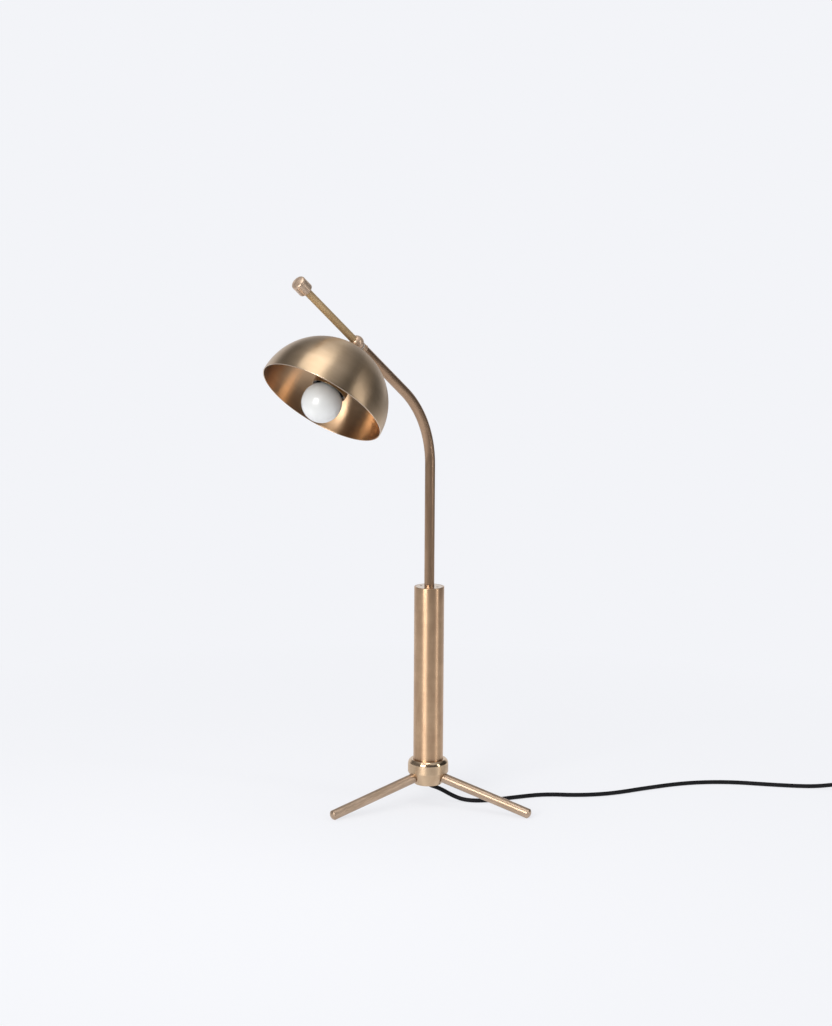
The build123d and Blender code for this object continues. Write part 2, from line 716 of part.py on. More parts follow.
nodes["bulb_globe"] = bulb_frame * (turned(globe_glass(0)) - turned(globe_glass(BULB_GLASS)))
nodes["bulb_base"] = bulb_frame * bulb_base()
nodes["bulb_insulator"] = bulb_frame * bulb_insulator()
nodes["bulb_contact"] = bulb_frame * disc(BULB_CONTACT_DIAMETER, BULB_REACH - BULB_CONTACT, BULB_REACH)

# Cord gland: a tapered rubber bush through the hub, with the stop on the cord above it
gland_low = recess_roof - GLAND_PROUD
gland_top = tube_seat + GLAND_FLANGE_THICKNESS
cord_hole = CORD_DIAMETER / 2 + THREAD_GAP
nodes["cord_gland"] = column_frame * turned(
    outline(
        (cord_hole, gland_low),
        (GLAND_TIP / 2, gland_low),
        (GLAND_DIAMETER / 2, tube_seat),
        (GLAND_FLANGE / 2, tube_seat),
        (GLAND_FLANGE / 2, gland_top),
        (cord_hole, gland_top),
    )
)
nodes["cord_stop"] = column_frame * ring(
    CORD_STOP_DIAMETER, 2 * cord_hole, gland_top, gland_top + CORD_STOP_LENGTH
)

# Terminal block and its screws, where the mains cord meets the lamp's inner lead
block_low = tube_seat + BLOCK_RISE
block_top = block_low + BLOCK_LENGTH


def terminal_screw(side):
    place = pointing((0, side * BLOCK_WIDTH / 4, block_low + BLOCK_LENGTH / 2), (1, 0, 0))
    return column_frame * place * disc(TERMINAL_SCREW, BLOCK_DEPTH / 4, BLOCK_DEPTH / 2)


def terminal_block():
    block = Pos(0, 0, block_low + BLOCK_LENGTH / 2) * Box(BLOCK_DEPTH, BLOCK_WIDTH, BLOCK_LENGTH)
    block = column_frame * block
    for side in (-1, 1):
        place = pointing((0, side * BLOCK_WIDTH / 4, block_low + BLOCK_LENGTH / 2), (1, 0, 0))
        block -= column_frame * place * disc(TERMINAL_SCREW + 2 * THREAD_GAP, BLOCK_DEPTH / 4, BLOCK_DEPTH)
    return block


nodes["terminal_block"] = terminal_block()
nodes["terminal_screws"] = Compound([terminal_screw(side).solid() for side in (-1, 1)])
nodes["inlet_cord"] = column_frame * disc(CORD_DIAMETER, gland_low, block_low)

# Inner leads: one in the column, one in the stem and one in the head. They meet on the two axes
# that the lamp turns about, so each only twists against the next.
nodes["column_lead"] = column_frame * disc(LEAD_DIAMETER, block_top, stem_bottom - FACE_GAP)
nodes["stem_lead"] = stem_frame * tube(stem_path(stem_bottom, STUB_REACH + FACE_GAP), LEAD_DIAMETER)
head_lead_path = FilletPolyline(
    (STUB_REACH, 0, 0), (0, 0, 0), (0, 0, chamber_top - LEAD_IN_CHAMBER), radius=LEAD_BEND
)
nodes["head_lead"] = head_frame * tube(head_lead_path, LEAD_DIAMETER)

# In-line switch: two moulded halves on the table, a rocker on its trunnions, two screws, and a
# sleeve at each end that keeps the cord from kinking
switch_middle = SWITCH_LENGTH / 2
pivot_height = SWITCH_HEIGHT - ROCKER_DEPTH
cheek_inside = ROCKER_WIDTH / 2 + ROCKER_GAP
screw_spots = [
    (switch_middle + side * (switch_middle - SWITCH_CORNER), side * (SWITCH_WIDTH / 2 - SWITCH_SCREW_INSET))
    for side in (-1, 1)
]


def switch_block(low, high, inset=0.0):
    plan = RectangleRounded(SWITCH_LENGTH - 2 * inset, SWITCH_WIDTH - 2 * inset, SWITCH_CORNER - inset)
    return Pos(switch_middle, 0, low) * extrude(plan, high - low)


def switch_post(spot, diameter, low, high):
    return Pos(spot[0], spot[1], 0) * disc(diameter, low, high)


def switch_base():
    shell = switch_block(TABLE_GAP, SWITCH_SPLIT)
    shell = chamfer(shell.edges().group_by(Axis.Z)[0], SWITCH_EDGE / 2)
    shell -= switch_block(TABLE_GAP + SWITCH_WALL, SWITCH_SPLIT, SWITCH_WALL)
    for spot in screw_spots:
        shell += switch_post(spot, SWITCH_SCREW_HEAD + SWITCH_WALL, TABLE_GAP + SWITCH_WALL, SWITCH_SPLIT)
        shell -= switch_post(spot, SWITCH_SCREW + 2 * THREAD_GAP, TABLE_GAP, SWITCH_SPLIT)
        shell -= switch_post(spot, SWITCH_SCREW_HEAD + 2 * THREAD_GAP, TABLE_GAP, TABLE_GAP + SWITCH_WALL)
    return shell


def switch_cover():
    shell = switch_block(SWITCH_SPLIT, SWITCH_HEIGHT)
    shell = fillet(shell.edges().group_by(Axis.Z)[-1], SWITCH_EDGE)
    shell -= switch_block(SWITCH_SPLIT, SWITCH_HEIGHT - SWITCH_WALL, SWITCH_WALL)
    for side in (-1, 1):
        cheek = Box(ROCKER_LENGTH, CHEEK_THICKNESS, SWITCH_HEIGHT - SWITCH_WALL - SWITCH_SPLIT)
        cheek_middle = (SWITCH_HEIGHT - SWITCH_WALL + SWITCH_SPLIT) / 2
        shell += Pos(switch_middle, side * (cheek_inside + CHEEK_THICKNESS / 2), cheek_middle) * cheek
    opening = Box(ROCKER_LENGTH + 2 * ROCKER_PLAY, 2 * cheek_inside, SWITCH_HEIGHT)
    shell -= Pos(switch_middle, 0, SWITCH_HEIGHT) * opening
    cheek_outside = cheek_inside + CHEEK_THICKNESS
    trunnion_hole = disc(TRUNNION_DIAMETER + 2 * RUNNING_GAP, -cheek_outside, cheek_outside)
    shell -= Pos(switch_middle, 0, pivot_height) * Rot(90, 0, 0) * trunnion_hole
    for spot in screw_spots:
        shell += switch_post(spot, SWITCH_SCREW + SWITCH_WALL, SWITCH_SPLIT, SWITCH_HEIGHT - SWITCH_WALL)
        shell -= switch_post(spot, SWITCH_SCREW + 2 * THREAD_GAP, SWITCH_SPLIT, pivot_height)
    return shell


def switch_rocker():
    half = ROCKER_LENGTH / 2
    crest = ROCKER_DEPTH + ROCKER_PROUD
    side = Polyline(
        (-half, 0, crest),
        (0, 0, crest - ROCKER_DISH),
        (half, 0, crest),
        (half, 0, 0),
        (ROCKER_DEPTH / 2, 0, -TRUNNION_DIAMETER),
        (-ROCKER_DEPTH / 2, 0, -TRUNNION_DIAMETER),
        (-half, 0, 0),
        close=True,
    )
    body = extrude(make_face(side), ROCKER_WIDTH / 2, dir=(0, 1, 0), both=True)
    trunnion_reach = cheek_inside + CHEEK_THICKNESS - ROCKER_GAP
    body += Rot(90, 0, 0) * disc(TRUNNION_DIAMETER, -trunnion_reach, trunnion_reach)
    return Pos(switch_middle, 0, pivot_height) * Rot(0, ROCKER_TILT, 0) * body


def switch_screw(spot):
    shank = switch_post(spot, SWITCH_SCREW, TABLE_GAP + SWITCH_WALL / 2, pivot_height - FACE_GAP)
    head = switch_post(spot, SWITCH_SCREW_HEAD, TABLE_GAP + SWITCH_WALL / 4, TABLE_GAP + SWITCH_WALL)
    return switch_frame * (shank + head)


def switch_sleeve(root, way):
    taper = Cone(SWITCH_SLEEVE_ROOT / 2, SWITCH_SLEEVE_TIP / 2, SWITCH_SLEEVE)
    place = pointing((root, 0, SWITCH_CORD_HEIGHT), (way, 0, 0))
    return switch_frame * place * Pos(0, 0, SWITCH_SLEEVE / 2) * taper


nodes["switch_sleeves"] = Compound([switch_sleeve(0, -1).solid(), switch_sleeve(SWITCH_LENGTH, 1).solid()])
nodes["switch_base"] = switch_frame * switch_base()
nodes["switch_cover"] = switch_frame * switch_cover()
nodes["switch_rocker"] = switch_frame * switch_rocker()
nodes["switch_screws"] = Compound([switch_screw(spot).solid() for spot in screw_spots])

# Mains cord: down out of the gland, over to the table, along it and up into the switch's first sleeve.
# The points between the gland and the sleeve are chosen by hand.
FREE_POINTS = [
    (85.4, -1.2, 23.0),
    (92.0, -3.6, 20.6),
    (101.4, -6.2, 15.4),
    (113.0, -10.5, 7.6),
    (123.4, -20.3, 2.8),
    (136.0, -34.0, 2.8),
    (160.0, -42.2, 2.8),
    (191.5, -46.5, 2.8),
    (228.0, -54.5, 2.8),
    (262.0, -82.0, 2.8),
    (304.0, -98.5, 2.8),
    (361.0, -101.5, 2.8),
    (421.0, -110.0, 2.8),
    (470.0, -135.5, 2.8),
    (509.0, -176.0, 2.8),
    (541.5, -205.5, 2.8),
    (558.0, -219.0, 4.2),
]
cord_start = Vector(column_x, 0, gland_low)
cord_end = Vector(CORD_ENTRY[0], CORD_ENTRY[1], SWITCH_CORD_HEIGHT)
switch_way = Vector(cos(radians(SWITCH_YAW)), sin(radians(SWITCH_YAW)), 0)
switch_approach = cord_end - switch_way * SWITCH_APPROACH
cord_drop = cord_start - Vector(0, 0, CORD_EXIT)
free_points = [Vector(*point) for point in FREE_POINTS]
cord_points = [cord_start, cord_drop] + free_points + [switch_approach, cord_end]


def widest_radii(points):
    """The largest fillet at each corner that its two runs leave room for."""
    radii = []
    for before, corner, after in zip(points, points[1:], points[2:]):
        run_in = corner - before
        run_out = after - corner
        half_turn = radians(run_in.get_angle(run_out)) / 2
        radii.append(CORD_FILLET_SHARE * min(run_in.length, run_out.length) / tan(half_turn))
    return radii


cord_radii = widest_radii(cord_points)
cord_path = FilletPolyline(*cord_points, radius=cord_radii)
nodes["mains_cord"] = tube(cord_path, CORD_DIAMETER)

# Put-away cord: one tube that spirals in on the table, climbs in half a turn and spirals out again
coil_turns = 2 * COIL_TURNS_IN + COIL_CLIMB_TURN


def coil_point(turn):
    """A point on the coil's centre line, counted in turns from its start beside the switch's axis."""
    inward = min(turn, coil_turns - turn)
    climb = min(max((turn - COIL_TURNS_IN) / COIL_CLIMB_TURN, 0), 1)
    radius = COIL_OUTER_RADIUS - COIL_PITCH * inward
    angle = 2 * pi * turn - pi / 2
    return Vector(radius * cos(angle), radius * sin(angle), coil_floor + COIL_PITCH * climb)


def coil_way(turn):
    """The coil's direction, level at its two ends."""
    step = 1 / 8
    if turn in (0, coil_turns):
        return Vector(1 if turn == 0 else -1, 0, 0)
    return (coil_point(turn + step) - coil_point(turn - step)).normalized()


def biarc(start, start_way, end, end_way):
    """Two arcs that join two points in the given directions."""
    gap = end - start
    arms = start_way + end_way
    square = 4 - arms.dot(arms)
    linear = 2 * gap.dot(arms)
    arm = 2 * gap.dot(gap) / (linear + sqrt(linear**2 + 4 * square * gap.dot(gap)))
    start_arm = start + start_way * arm
    end_arm = end - end_way * arm
    join = (start_arm + end_arm) / 2
    return [
        TangentArc(start, join, tangent=start_way),
        TangentArc(join, end, tangent=end_arm - start_arm),
    ]


def cord_coil():
    lead_in = Vector(-COIL_LEAD, -COIL_OUTER_RADIUS, SWITCH_CORD_HEIGHT)
    lead_way = Vector(1, 0, 0)
    lead_end = lead_in + lead_way * CORD_DIAMETER
    edges = [Line(lead_in, lead_end)]
    edges += biarc(lead_end, lead_way, coil_point(0), coil_way(0))
    quarters = [quarter / 4 for quarter in range(int(4 * coil_turns) + 1)]
    for turn, next_turn in zip(quarters, quarters[1:]):
        edges += biarc(coil_point(turn), coil_way(turn), coil_point(next_turn), coil_way(next_turn))
    last = coil_point(coil_turns)
    edges.append(Line(last, last - Vector(PLUG_LEAD, 0, 0)))
    return Wire(edges)


coil_path = cord_coil()
nodes["cord_coil"] = coil_frame * tube(coil_path, CORD_DIAMETER)


def coil_gap():
    """The least gap between turns of the coil, measured on points half a turn or more apart."""
    count = int(COIL_SAMPLES * coil_turns)
    points = [coil_point(coil_turns * index / count) for index in range(count + 1)]
    return min(
        (points[first] - points[second]).length
        for first in range(len(points))
        for second in range(first + COIL_SAMPLES // 2, len(points))
    ) - CORD_DIAMETER


# Tie: a band round the coil's turns on the side away from the switch
tie_reach = COIL_OUTER_RADIUS - COIL_PITCH / 4 + CORD_DIAMETER / 2 + TIE_GAP
tie_inside = COIL_OUTER_RADIUS - COIL_PITCH * (COIL_TURNS_IN - 1 / 4) - CORD_DIAMETER / 2 - TIE_GAP
tie_low = TABLE_GAP + TIE_THICKNESS
tie_high = coil_floor + COIL_PITCH + CORD_DIAMETER / 2 + TIE_GAP


def cord_tie():
    middle = Pos((tie_reach + tie_inside) / 2, 0, (tie_low + tie_high) / 2)
    length = tie_reach - tie_inside
    height = tie_high - tie_low
    band = Box(length + 2 * TIE_THICKNESS, TIE_WIDTH, height + 2 * TIE_THICKNESS)
    band = fillet(band.edges().filter_by(Axis.Y), 2 * TIE_THICKNESS)
    return middle * (band - Box(length, TIE_WIDTH, height))


nodes["cord_tie"] = coil_frame * cord_tie()

# Plug: a moulded two-blade plug that lies on the table behind the switch
plug_axis = coil_floor + COIL_PITCH
plug_frame = coil_frame * Location((-PLUG_LEAD, COIL_OUTER_RADIUS, plug_axis), (0, -90, 0))
plug_end = SLEEVE_LENGTH + PLUG_LENGTH


def plug_body():
    sleeve = Pos(0, 0, SLEEVE_LENGTH / 2) * Cone(SLEEVE_END / 2, SLEEVE_ROOT / 2, SLEEVE_LENGTH)
    section = RectangleRounded(plug_height, PLUG_WIDTH, PLUG_CORNER)
    body = Pos(0, 0, SLEEVE_LENGTH) * extrude(section, PLUG_LENGTH)
    body = chamfer(body.edges().group_by(Axis.Z)[0], PLUG_CORNER / 2)
    return body + sleeve - plug_blades(THREAD_GAP)


def plug_blades(extra=0.0):
    """The two blades, or with some extra the slots that they are moulded into."""
    length = BLADE_ROOT + BLADE_LENGTH
    pair = []
    for side in (-1, 1):
        blade = Box(BLADE_HEIGHT + 2 * extra, BLADE_THICKNESS + 2 * extra, length + 2 * extra)
        pair.append(Pos(0, side * BLADE_SPACING / 2, plug_end + length / 2 - BLADE_ROOT) * blade)
    return Compound([blade.solid() for blade in pair])


nodes["plug_body"] = plug_frame * plug_body()
nodes["plug_blades"] = plug_frame * plug_blades()

os.makedirs("parts", exist_ok=True)
for name, solid in nodes.items():
    export_step(solid, f"parts/{name}.step")

cord_section = pi * CORD_DIAMETER**2 / 4
print("column axis at x", round(column_x, 3))
print("ball at", head_frame.position, "arm", head_frame.x_axis.direction)
print("rocker pivot", (switch_frame * Location((switch_middle, 0, pivot_height))).position)
print("cord radii", [round(radius, 1) for radius in cord_radii])
for name, path in (("mains_cord", cord_path), ("cord_coil", coil_path)):
    print(name, "length", round(path.length, 1))
    print(name, "share of a full tube", round(nodes[name].volume / cord_section / path.length, 4))
print("least gap in the coil", round(coil_gap(), 2))
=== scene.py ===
# Desk lamp in antique brass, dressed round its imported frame. Metres, in the frame's own axes.
from math import asin, atan2, cos, hypot, pi, radians, sin, sqrt, tan

import bmesh
import bpy
from mathutils import Matrix, Vector


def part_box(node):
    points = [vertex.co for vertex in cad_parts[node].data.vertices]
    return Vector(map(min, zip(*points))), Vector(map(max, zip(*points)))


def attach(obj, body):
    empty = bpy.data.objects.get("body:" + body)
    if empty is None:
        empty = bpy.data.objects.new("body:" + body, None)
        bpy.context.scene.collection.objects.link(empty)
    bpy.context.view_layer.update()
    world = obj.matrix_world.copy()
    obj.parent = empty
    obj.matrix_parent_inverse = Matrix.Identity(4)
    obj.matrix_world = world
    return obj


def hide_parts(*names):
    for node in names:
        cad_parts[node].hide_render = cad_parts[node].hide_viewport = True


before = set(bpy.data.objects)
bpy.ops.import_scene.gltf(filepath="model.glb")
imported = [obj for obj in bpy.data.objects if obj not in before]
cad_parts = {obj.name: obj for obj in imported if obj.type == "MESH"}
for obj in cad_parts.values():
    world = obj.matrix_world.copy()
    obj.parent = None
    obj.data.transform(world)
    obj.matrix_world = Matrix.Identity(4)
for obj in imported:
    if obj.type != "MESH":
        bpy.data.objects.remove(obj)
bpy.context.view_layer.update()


# Hub. The real one is turned from solid brass bar: a collar with a polished shoulder over a tapered foot
# that is hollow below for the cord. The column tube sits in its top and the legs screw into its foot.
COLUMN_X = 0.081862
FOOT_RADIUS = 0.0174
COLLAR_RADIUS = 0.02595
SOCKET_RADIUS = 0.0191
SHOULDER_LIP = 0.0034
SHOULDER_BULGE = 0.00085
RECESS_RADIUS = 0.0144
RECESS_DEPTH = 0.0055
GLAND_HOLE = 0.00555
COLLAR_RISE = 0.0162
SOCKET_RISE = 0.0203
SHOULDER_RISE = 0.0270
HUB_HEIGHT = 0.0328
POLISH_EDGE = 0.0002
POLISHED_SHARE = 0.42


def eased(*corners):
    """Points of an outline. A corner with a third value is rounded over that length of its sides."""
    points = []
    steps = 4
    for index, corner in enumerate(corners):
        here = Vector(corner[:2])
        if len(corner) == 2:
            points.append(tuple(here))
            continue
        before = Vector(corners[index - 1][:2])
        after = Vector(corners[(index + 1) % len(corners)][:2])
        start = here + (before - here).normalized() * corner[2]
        end = here + (after - here).normalized() * corner[2]
        for step in range(steps + 1):
            share = step / steps
            points.append(tuple(start.lerp(here, share).lerp(here.lerp(end, share), share)))
    return points


def skinned(name, rings, lengths, place, finish):
    """A mesh through rings of points, with a UV map of turns one way and metres the other."""
    shape = bmesh.new()
    skin = shape.loops.layers.uv.new("skin")
    loops = [[shape.verts.new(place @ Vector(point)) for point in ring] for ring in rings]
    turns = max(len(loop) for loop in loops)
    for low, high, start, end in zip(loops, loops[1:] + loops[:1], lengths, lengths[1:]):
        for turn in range(turns):
            sides = ((low, turn, start), (low, turn + 1, start), (high, turn + 1, end), (high, turn, end))
            corners = []
            for loop, step, along in sides:
                vert = loop[step % len(loop)]
                if vert not in [corner[0] for corner in corners]:
                    corners.append((vert, (step / turns, along)))
            if len(corners) < 3:
                continue
            face = shape.faces.new([corner[0] for corner in corners])
            for loop, corner in zip(face.loops, corners):
                loop[skin].uv = corner[1]
    bmesh.ops.recalc_face_normals(shape, faces=shape.faces)
    mesh = bpy.data.meshes.new(name)
    shape.to_mesh(mesh)
    shape.free()
    mesh.shade_smooth()
    mesh.set_sharp_from_angle(angle=radians(40))
    mesh.materials.append(finish)
    piece = bpy.data.objects.new(name, mesh)
    bpy.context.scene.collection.objects.link(piece)
    return piece


def turned(name, outline, place, finish, closed=True, turns=128):
    """A piece turned on the lathe: (radius, height) points swept round the local Z axis."""
    rings = []
    for radius, height in outline:
        steps = turns if radius > 1e-6 else 1
        angles = [2 * pi * step / turns for step in range(steps)]
        rings.append([(radius * cos(angle), radius * sin(angle), height) for angle in angles])
    lengths = [0.0]
    for here, after in zip(outline, outline[1:] + outline[:1]):
        lengths.append(lengths[-1] + hypot(after[0] - here[0], after[1] - here[1]))
    if not closed:
        lengths.pop()
    return skinned(name, rings, lengths, place, finish)


def settle(piece, body, slot, *nodes):
    """Fixes a piece to its body and hides the solids it stands for. slot is not used."""
    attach(piece, body)
    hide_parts(*nodes)


def blank_finish(name):
    """An empty node material, with a function that adds a node and one that joins two sockets."""
    material = bpy.data.materials.new(name)
    material.use_nodes = True
    tree = material.node_tree

    def add(kind, **settings):
        node = tree.nodes.new("ShaderNode" + kind)
        for key, value in settings.items():
            setattr(node, key, value)
        return node

    return material, tree.nodes["Principled BSDF"], add, tree.links.new


def ranged(add, join, source, low, high, new_low, new_high):
    """A value moved from one range to another."""
    node = add("MapRange")
    for socket, value in zip(node.inputs[1:5], (low, high, new_low, new_high)):
        socket.default_value = value
    join(source, node.inputs[0])
    return node.outputs[0]


def product(add, join, first, second):
    """Two values multiplied."""
    node = add("Math", operation="MULTIPLY")
    join(first, node.inputs[0])
    join(second, node.inputs[1])
    return node.outputs[0]


def mixed(add, join, factor, first, second):
    """A colour between two colours."""
    node = add("Mix", data_type="RGBA")
    join(factor, node.inputs[0])
    for socket, colour in ((node.inputs[6], first), (node.inputs[7], second)):
        if isinstance(colour, tuple):
            socket.default_value = (*colour, 1)
        else:
            join(colour, socket)
    return node.outputs[2]


def brass(
    name, light, deep, roughness, stretch, grain=(1.5, 900), brushing=0.25, bare=1.0, polished_above=None
):
    """Brass with a patina, brushed on a wheel. stretch is how far its highlights are drawn out, grain how
    many lines run (around, along) the skin, brushing 0.25 for lines round the piece, else 0, and bare the
    share of the metal that the dull patina leaves bare. Above a given height it is polished."""
    material, shader, add, join = blank_finish(name)
    uv = add("UVMap", uv_map="skin")
    halves = add("SeparateXYZ")
    join(uv.outputs[0], halves.inputs[0])
    angle = add("Math", operation="MULTIPLY")
    angle.inputs[1].default_value = 2 * pi
    join(halves.outputs[0], angle.inputs[0])
    round_skin = add("CombineXYZ")
    for socket, operation in ((round_skin.inputs[0], "COSINE"), (round_skin.inputs[1], "SINE")):
        side = add("Math", operation=operation)
        join(angle.outputs[0], side.inputs[0])
        join(side.outputs[0], socket)
    join(halves.outputs[1], round_skin.inputs[2])

    def cloud(around, along, detail):
        scaled = add("VectorMath", operation="MULTIPLY")
        scaled.inputs[1].default_value = (around, around, along)
        join(round_skin.outputs[0], scaled.inputs[0])
        noise = add("TexNoise")
        noise.inputs["Scale"].default_value = 1.0
        noise.inputs["Detail"].default_value = detail
        noise.inputs["Roughness"].default_value = 0.6
        join(scaled.outputs[0], noise.inputs["Vector"])
        return noise.outputs["Fac"]

    # Noise lies mostly between 0.3 and 0.7, so its tones and its gloss are spread over that range.
    lines = cloud(grain[0], grain[1], 2.0)
    bands = cloud(grain[0] / 4, grain[1] / 10, 2.0)
    blotches = cloud(1.1, 26.0, 3.0)
    toned = mixed(add, join, ranged(add, join, blotches, 0.34, 0.66, 0.0, 1.0), deep, light)
    darker = tuple(0.9 * value for value in deep)
    brushed = mixed(add, join, ranged(add, join, bands, 0.35, 0.6, 0.35, 0.0), toned, darker)
    join(brushed, shader.inputs["Base Color"])
    satin = ranged(add, join, lines, 0.3, 0.7, roughness - 0.012, roughness + 0.016)
    if polished_above is not None:
        spot = add("TexCoord")
        height = add("SeparateXYZ")
        join(spot.outputs["Object"], height.inputs[0])
        edge = polished_above + POLISH_EDGE
        polish = ranged(add, join, height.outputs[2], polished_above, edge, 1.0, POLISHED_SHARE)
        satin = product(add, join, satin, polish)
    join(satin, shader.inputs["Roughness"])
    tangent = add("Tangent", direction_type="UV_MAP", uv_map="skin")
    join(tangent.outputs[0], shader.inputs["Tangent"])
    shader.inputs["Metallic"].default_value = bare
    shader.inputs["Anisotropic"].default_value = stretch
    shader.inputs["Anisotropic Rotation"].default_value = brushing
    return material


column_place = Matrix.Translation((COLUMN_X, 0, 0))
hub_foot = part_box("hub")[0][2]
recess_roof = hub_foot + RECESS_DEPTH
collar_foot = hub_foot + COLLAR_RISE
socket_floor = hub_foot + SOCKET_RISE
shoulder_foot = hub_foot + SHOULDER_RISE
hub_top = hub_foot + HUB_HEIGHT
lip_radius = SOCKET_RADIUS + SHOULDER_LIP
slant = Vector((lip_radius - COLLAR_RADIUS, hub_top - shoulder_foot))
outward = Vector((slant.y, -slant.x)).normalized()
shoulder = []
for step in range(1, 12):
    share = step / 12
    spot = Vector((COLLAR_RADIUS, shoulder_foot)) + slant * share
    shoulder.append(tuple(spot + outward * SHOULDER_BULGE * 4 * share * (1 - share)))
hub_outline = eased(
    (GLAND_HOLE, socket_floor),
    (GLAND_HOLE, recess_roof),
    (RECESS_RADIUS, recess_roof),
    (RECESS_RADIUS, hub_foot, 0.0004),
    (FOOT_RADIUS, hub_foot, 0.0006),
    (COLLAR_RADIUS, collar_foot, 0.0002),
    (COLLAR_RADIUS, shoulder_foot, 0.0002),
    *shoulder,
    (lip_radius, hub_top, 0.0002),
    (SOCKET_RADIUS, hub_top, 0.0003),
    (SOCKET_RADIUS, socket_floor),
)
hub_brass = brass(
    "hub_brass",
    light=(0.71, 0.54, 0.366),
    deep=(0.60, 0.43, 0.28),
    roughness=0.40,
    stretch=0.8,
    polished_above=shoulder_foot,
)
hub = turned("hub_turning", hub_outline, column_place, hub_brass)
settle(hub, "base", "satin_brass", "hub")


# Legs. Three plain brass rods with a shallow domed end. Each screws on a stud against a flat seat in the
# hub's foot, and rests on the table with a small flat filed on the lower corner of its tip.
LEG_RADIUS = 0.00635
LEG_SLOPE = radians(14.3)
LEG_REACH = 0.1465
LEG_SEAT = 0.0229
TIP_DOME = 0.0031
TIP_FLAT = 0.00045
LEG_EDGE = 0.0003


def domed_bar(radius, low, high, dome, foot_edge, dome_edge):
    """Outline of a round bar with a shallow dome at its far end. Both edges are rounded."""
    dome_radius = (radius**2 + dome**2) / (2 * dome)
    spread = asin(radius / dome_radius)
    straight = high - dome - low
    corners = [(0.0, low), (radius, low, foot_edge)]
    corners += [(radius, low + straight * step / 8) for step in range(1, 8)]
    corners.append((radius, high - dome, dome_edge))
    for step in range(2, 9):
        lean = spread * (1 - step / 8)
        corners.append((dome_radius * sin(lean), high - dome_radius * (1 - cos(lean))))
    return eased(*corners)


leg_root = LEG_REACH * sin(LEG_SLOPE) + LEG_RADIUS * cos(LEG_SLOPE) - TIP_FLAT
leg_axis = Matrix.Translation((0, 0, leg_root)) @ Matrix.Rotation(-(pi / 2 + LEG_SLOPE), 4, "Y")
leg_outline = domed_bar(LEG_RADIUS, LEG_SEAT, LEG_REACH + TIP_DOME, TIP_DOME, LEG_EDGE, LEG_EDGE)
leg_brass = brass(
    "leg_brass",
    light=(0.51, 0.38, 0.28),
    deep=(0.385, 0.28, 0.195),
    roughness=0.36,
    stretch=0.3,
    grain=(0.6, 500),
    bare=0.8,
)
for index, node in enumerate(("leg_front", "leg_right", "leg_back")):
    place = column_place @ Matrix.Rotation(2 * pi / 3 * index, 4, "Z") @ leg_axis
    leg = turned(node + "_rod", leg_outline, place, leg_brass, closed=False, turns=64)
    for vert in leg.data.vertices:
        vert.co.z = max(vert.co.z, 0.0)
    settle(leg, "base", "satin_brass", node)


# Column. A brass tube, brushed round on the lathe, pushed into the hub's socket. Its top is closed by
# a faced brass cap that screws in with a pin spanner, and the stem turns in the cap's hole.
COLUMN_RADIUS = 0.01905
COLUMN_BORE = 0.01705
COLUMN_EDGE = 0.0005
BORE_EDGE = 0.0001
column_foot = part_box("column_tube")[0][2]
column_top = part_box("column_tube")[1][2]
column_outline = eased(
    (COLUMN_BORE, column_foot),
    (COLUMN_RADIUS, column_foot),
    *[(COLUMN_RADIUS, column_foot + (column_top - column_foot) * step / 10) for step in range(1, 10)],
    (COLUMN_RADIUS, column_top, COLUMN_EDGE),
    (COLUMN_BORE, column_top, BORE_EDGE),
)
column_brass = brass(
    "column_brass", light=(0.69, 0.475, 0.30), deep=(0.55, 0.36, 0.225), roughness=0.40, stretch=0.8
)
column = turned("column_sleeve", column_outline, column_place, column_brass)
settle(column, "base", "satin_brass", "column_tube")


def solid_finish(name, light, deep, roughness, metal, scale, relief, coat=0.0):
    """A finish for a solid with no UV map: two tones that wander, and a fine grain in the surface. scale
    is how many grains there are to a metre, and relief how deep they are."""
    material, shader, add, join = blank_finish(name)
    spot = add("TexCoord")
    values = []
    for size, detail in ((scale / 25, 3.0), (scale, 2.0)):
        noise = add("TexNoise")
        noise.inputs["Scale"].default_value = size
        noise.inputs["Detail"].default_value = detail
        join(spot.outputs["Object"], noise.inputs["Vector"])
        values.append(noise.outputs["Fac"])
    tone = ranged(add, join, values[0], 0.35, 0.65, 0, 1)
    join(mixed(add, join, tone, deep, light), shader.inputs["Base Color"])
    satin = ranged(add, join, values[1], 0.3, 0.7, roughness - 0.04, roughness + 0.05)
    join(satin, shader.inputs["Roughness"])
    bump = add("Bump")
    bump.inputs["Strength"].default_value = 0.3
    bump.inputs["Distance"].default_value = relief
    join(values[1], bump.inputs["Height"])
    join(bump.outputs[0], shader.inputs["Normal"])
    shader.inputs["Metallic"].default_value = metal
    shader.inputs["Coat Weight"].default_value = coat
    shader.inputs["Coat Roughness"].default_value = 0.12
    return material


def dress(finish, *nodes):
    """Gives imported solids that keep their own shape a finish."""
    for node in nodes:
        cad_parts[node].data.materials.clear()
        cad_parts[node].data.materials.append(finish)


# Also given to the shade's rim, where its lighter colour is partly a painted highlight along the edge.
faced_brass = solid_finish(
    "faced_brass",
    (0.74, 0.62, 0.50),
    (0.66, 0.54, 0.42),
    roughness=0.25,
    metal=1.0,
    scale=900,
    relief=0.00001,
)
plain_brass = solid_finish(
    "plain_brass",
    (0.66, 0.52, 0.27),
    (0.55, 0.41, 0.20),
    roughness=0.30,
    metal=1.0,
    scale=700,
    relief=0.00001,
)
zinc = solid_finish(
    "zinc_plate",
    (0.58, 0.58, 0.57),
    (0.46, 0.46, 0.46),
    roughness=0.32,
    metal=1.0,
    scale=900,
    relief=0.00001,
)
dress(faced_brass, "column_top_cap")
dress(plain_brass, "lower_bush")
dress(zinc, "leg_studs", "hub_set_screw")


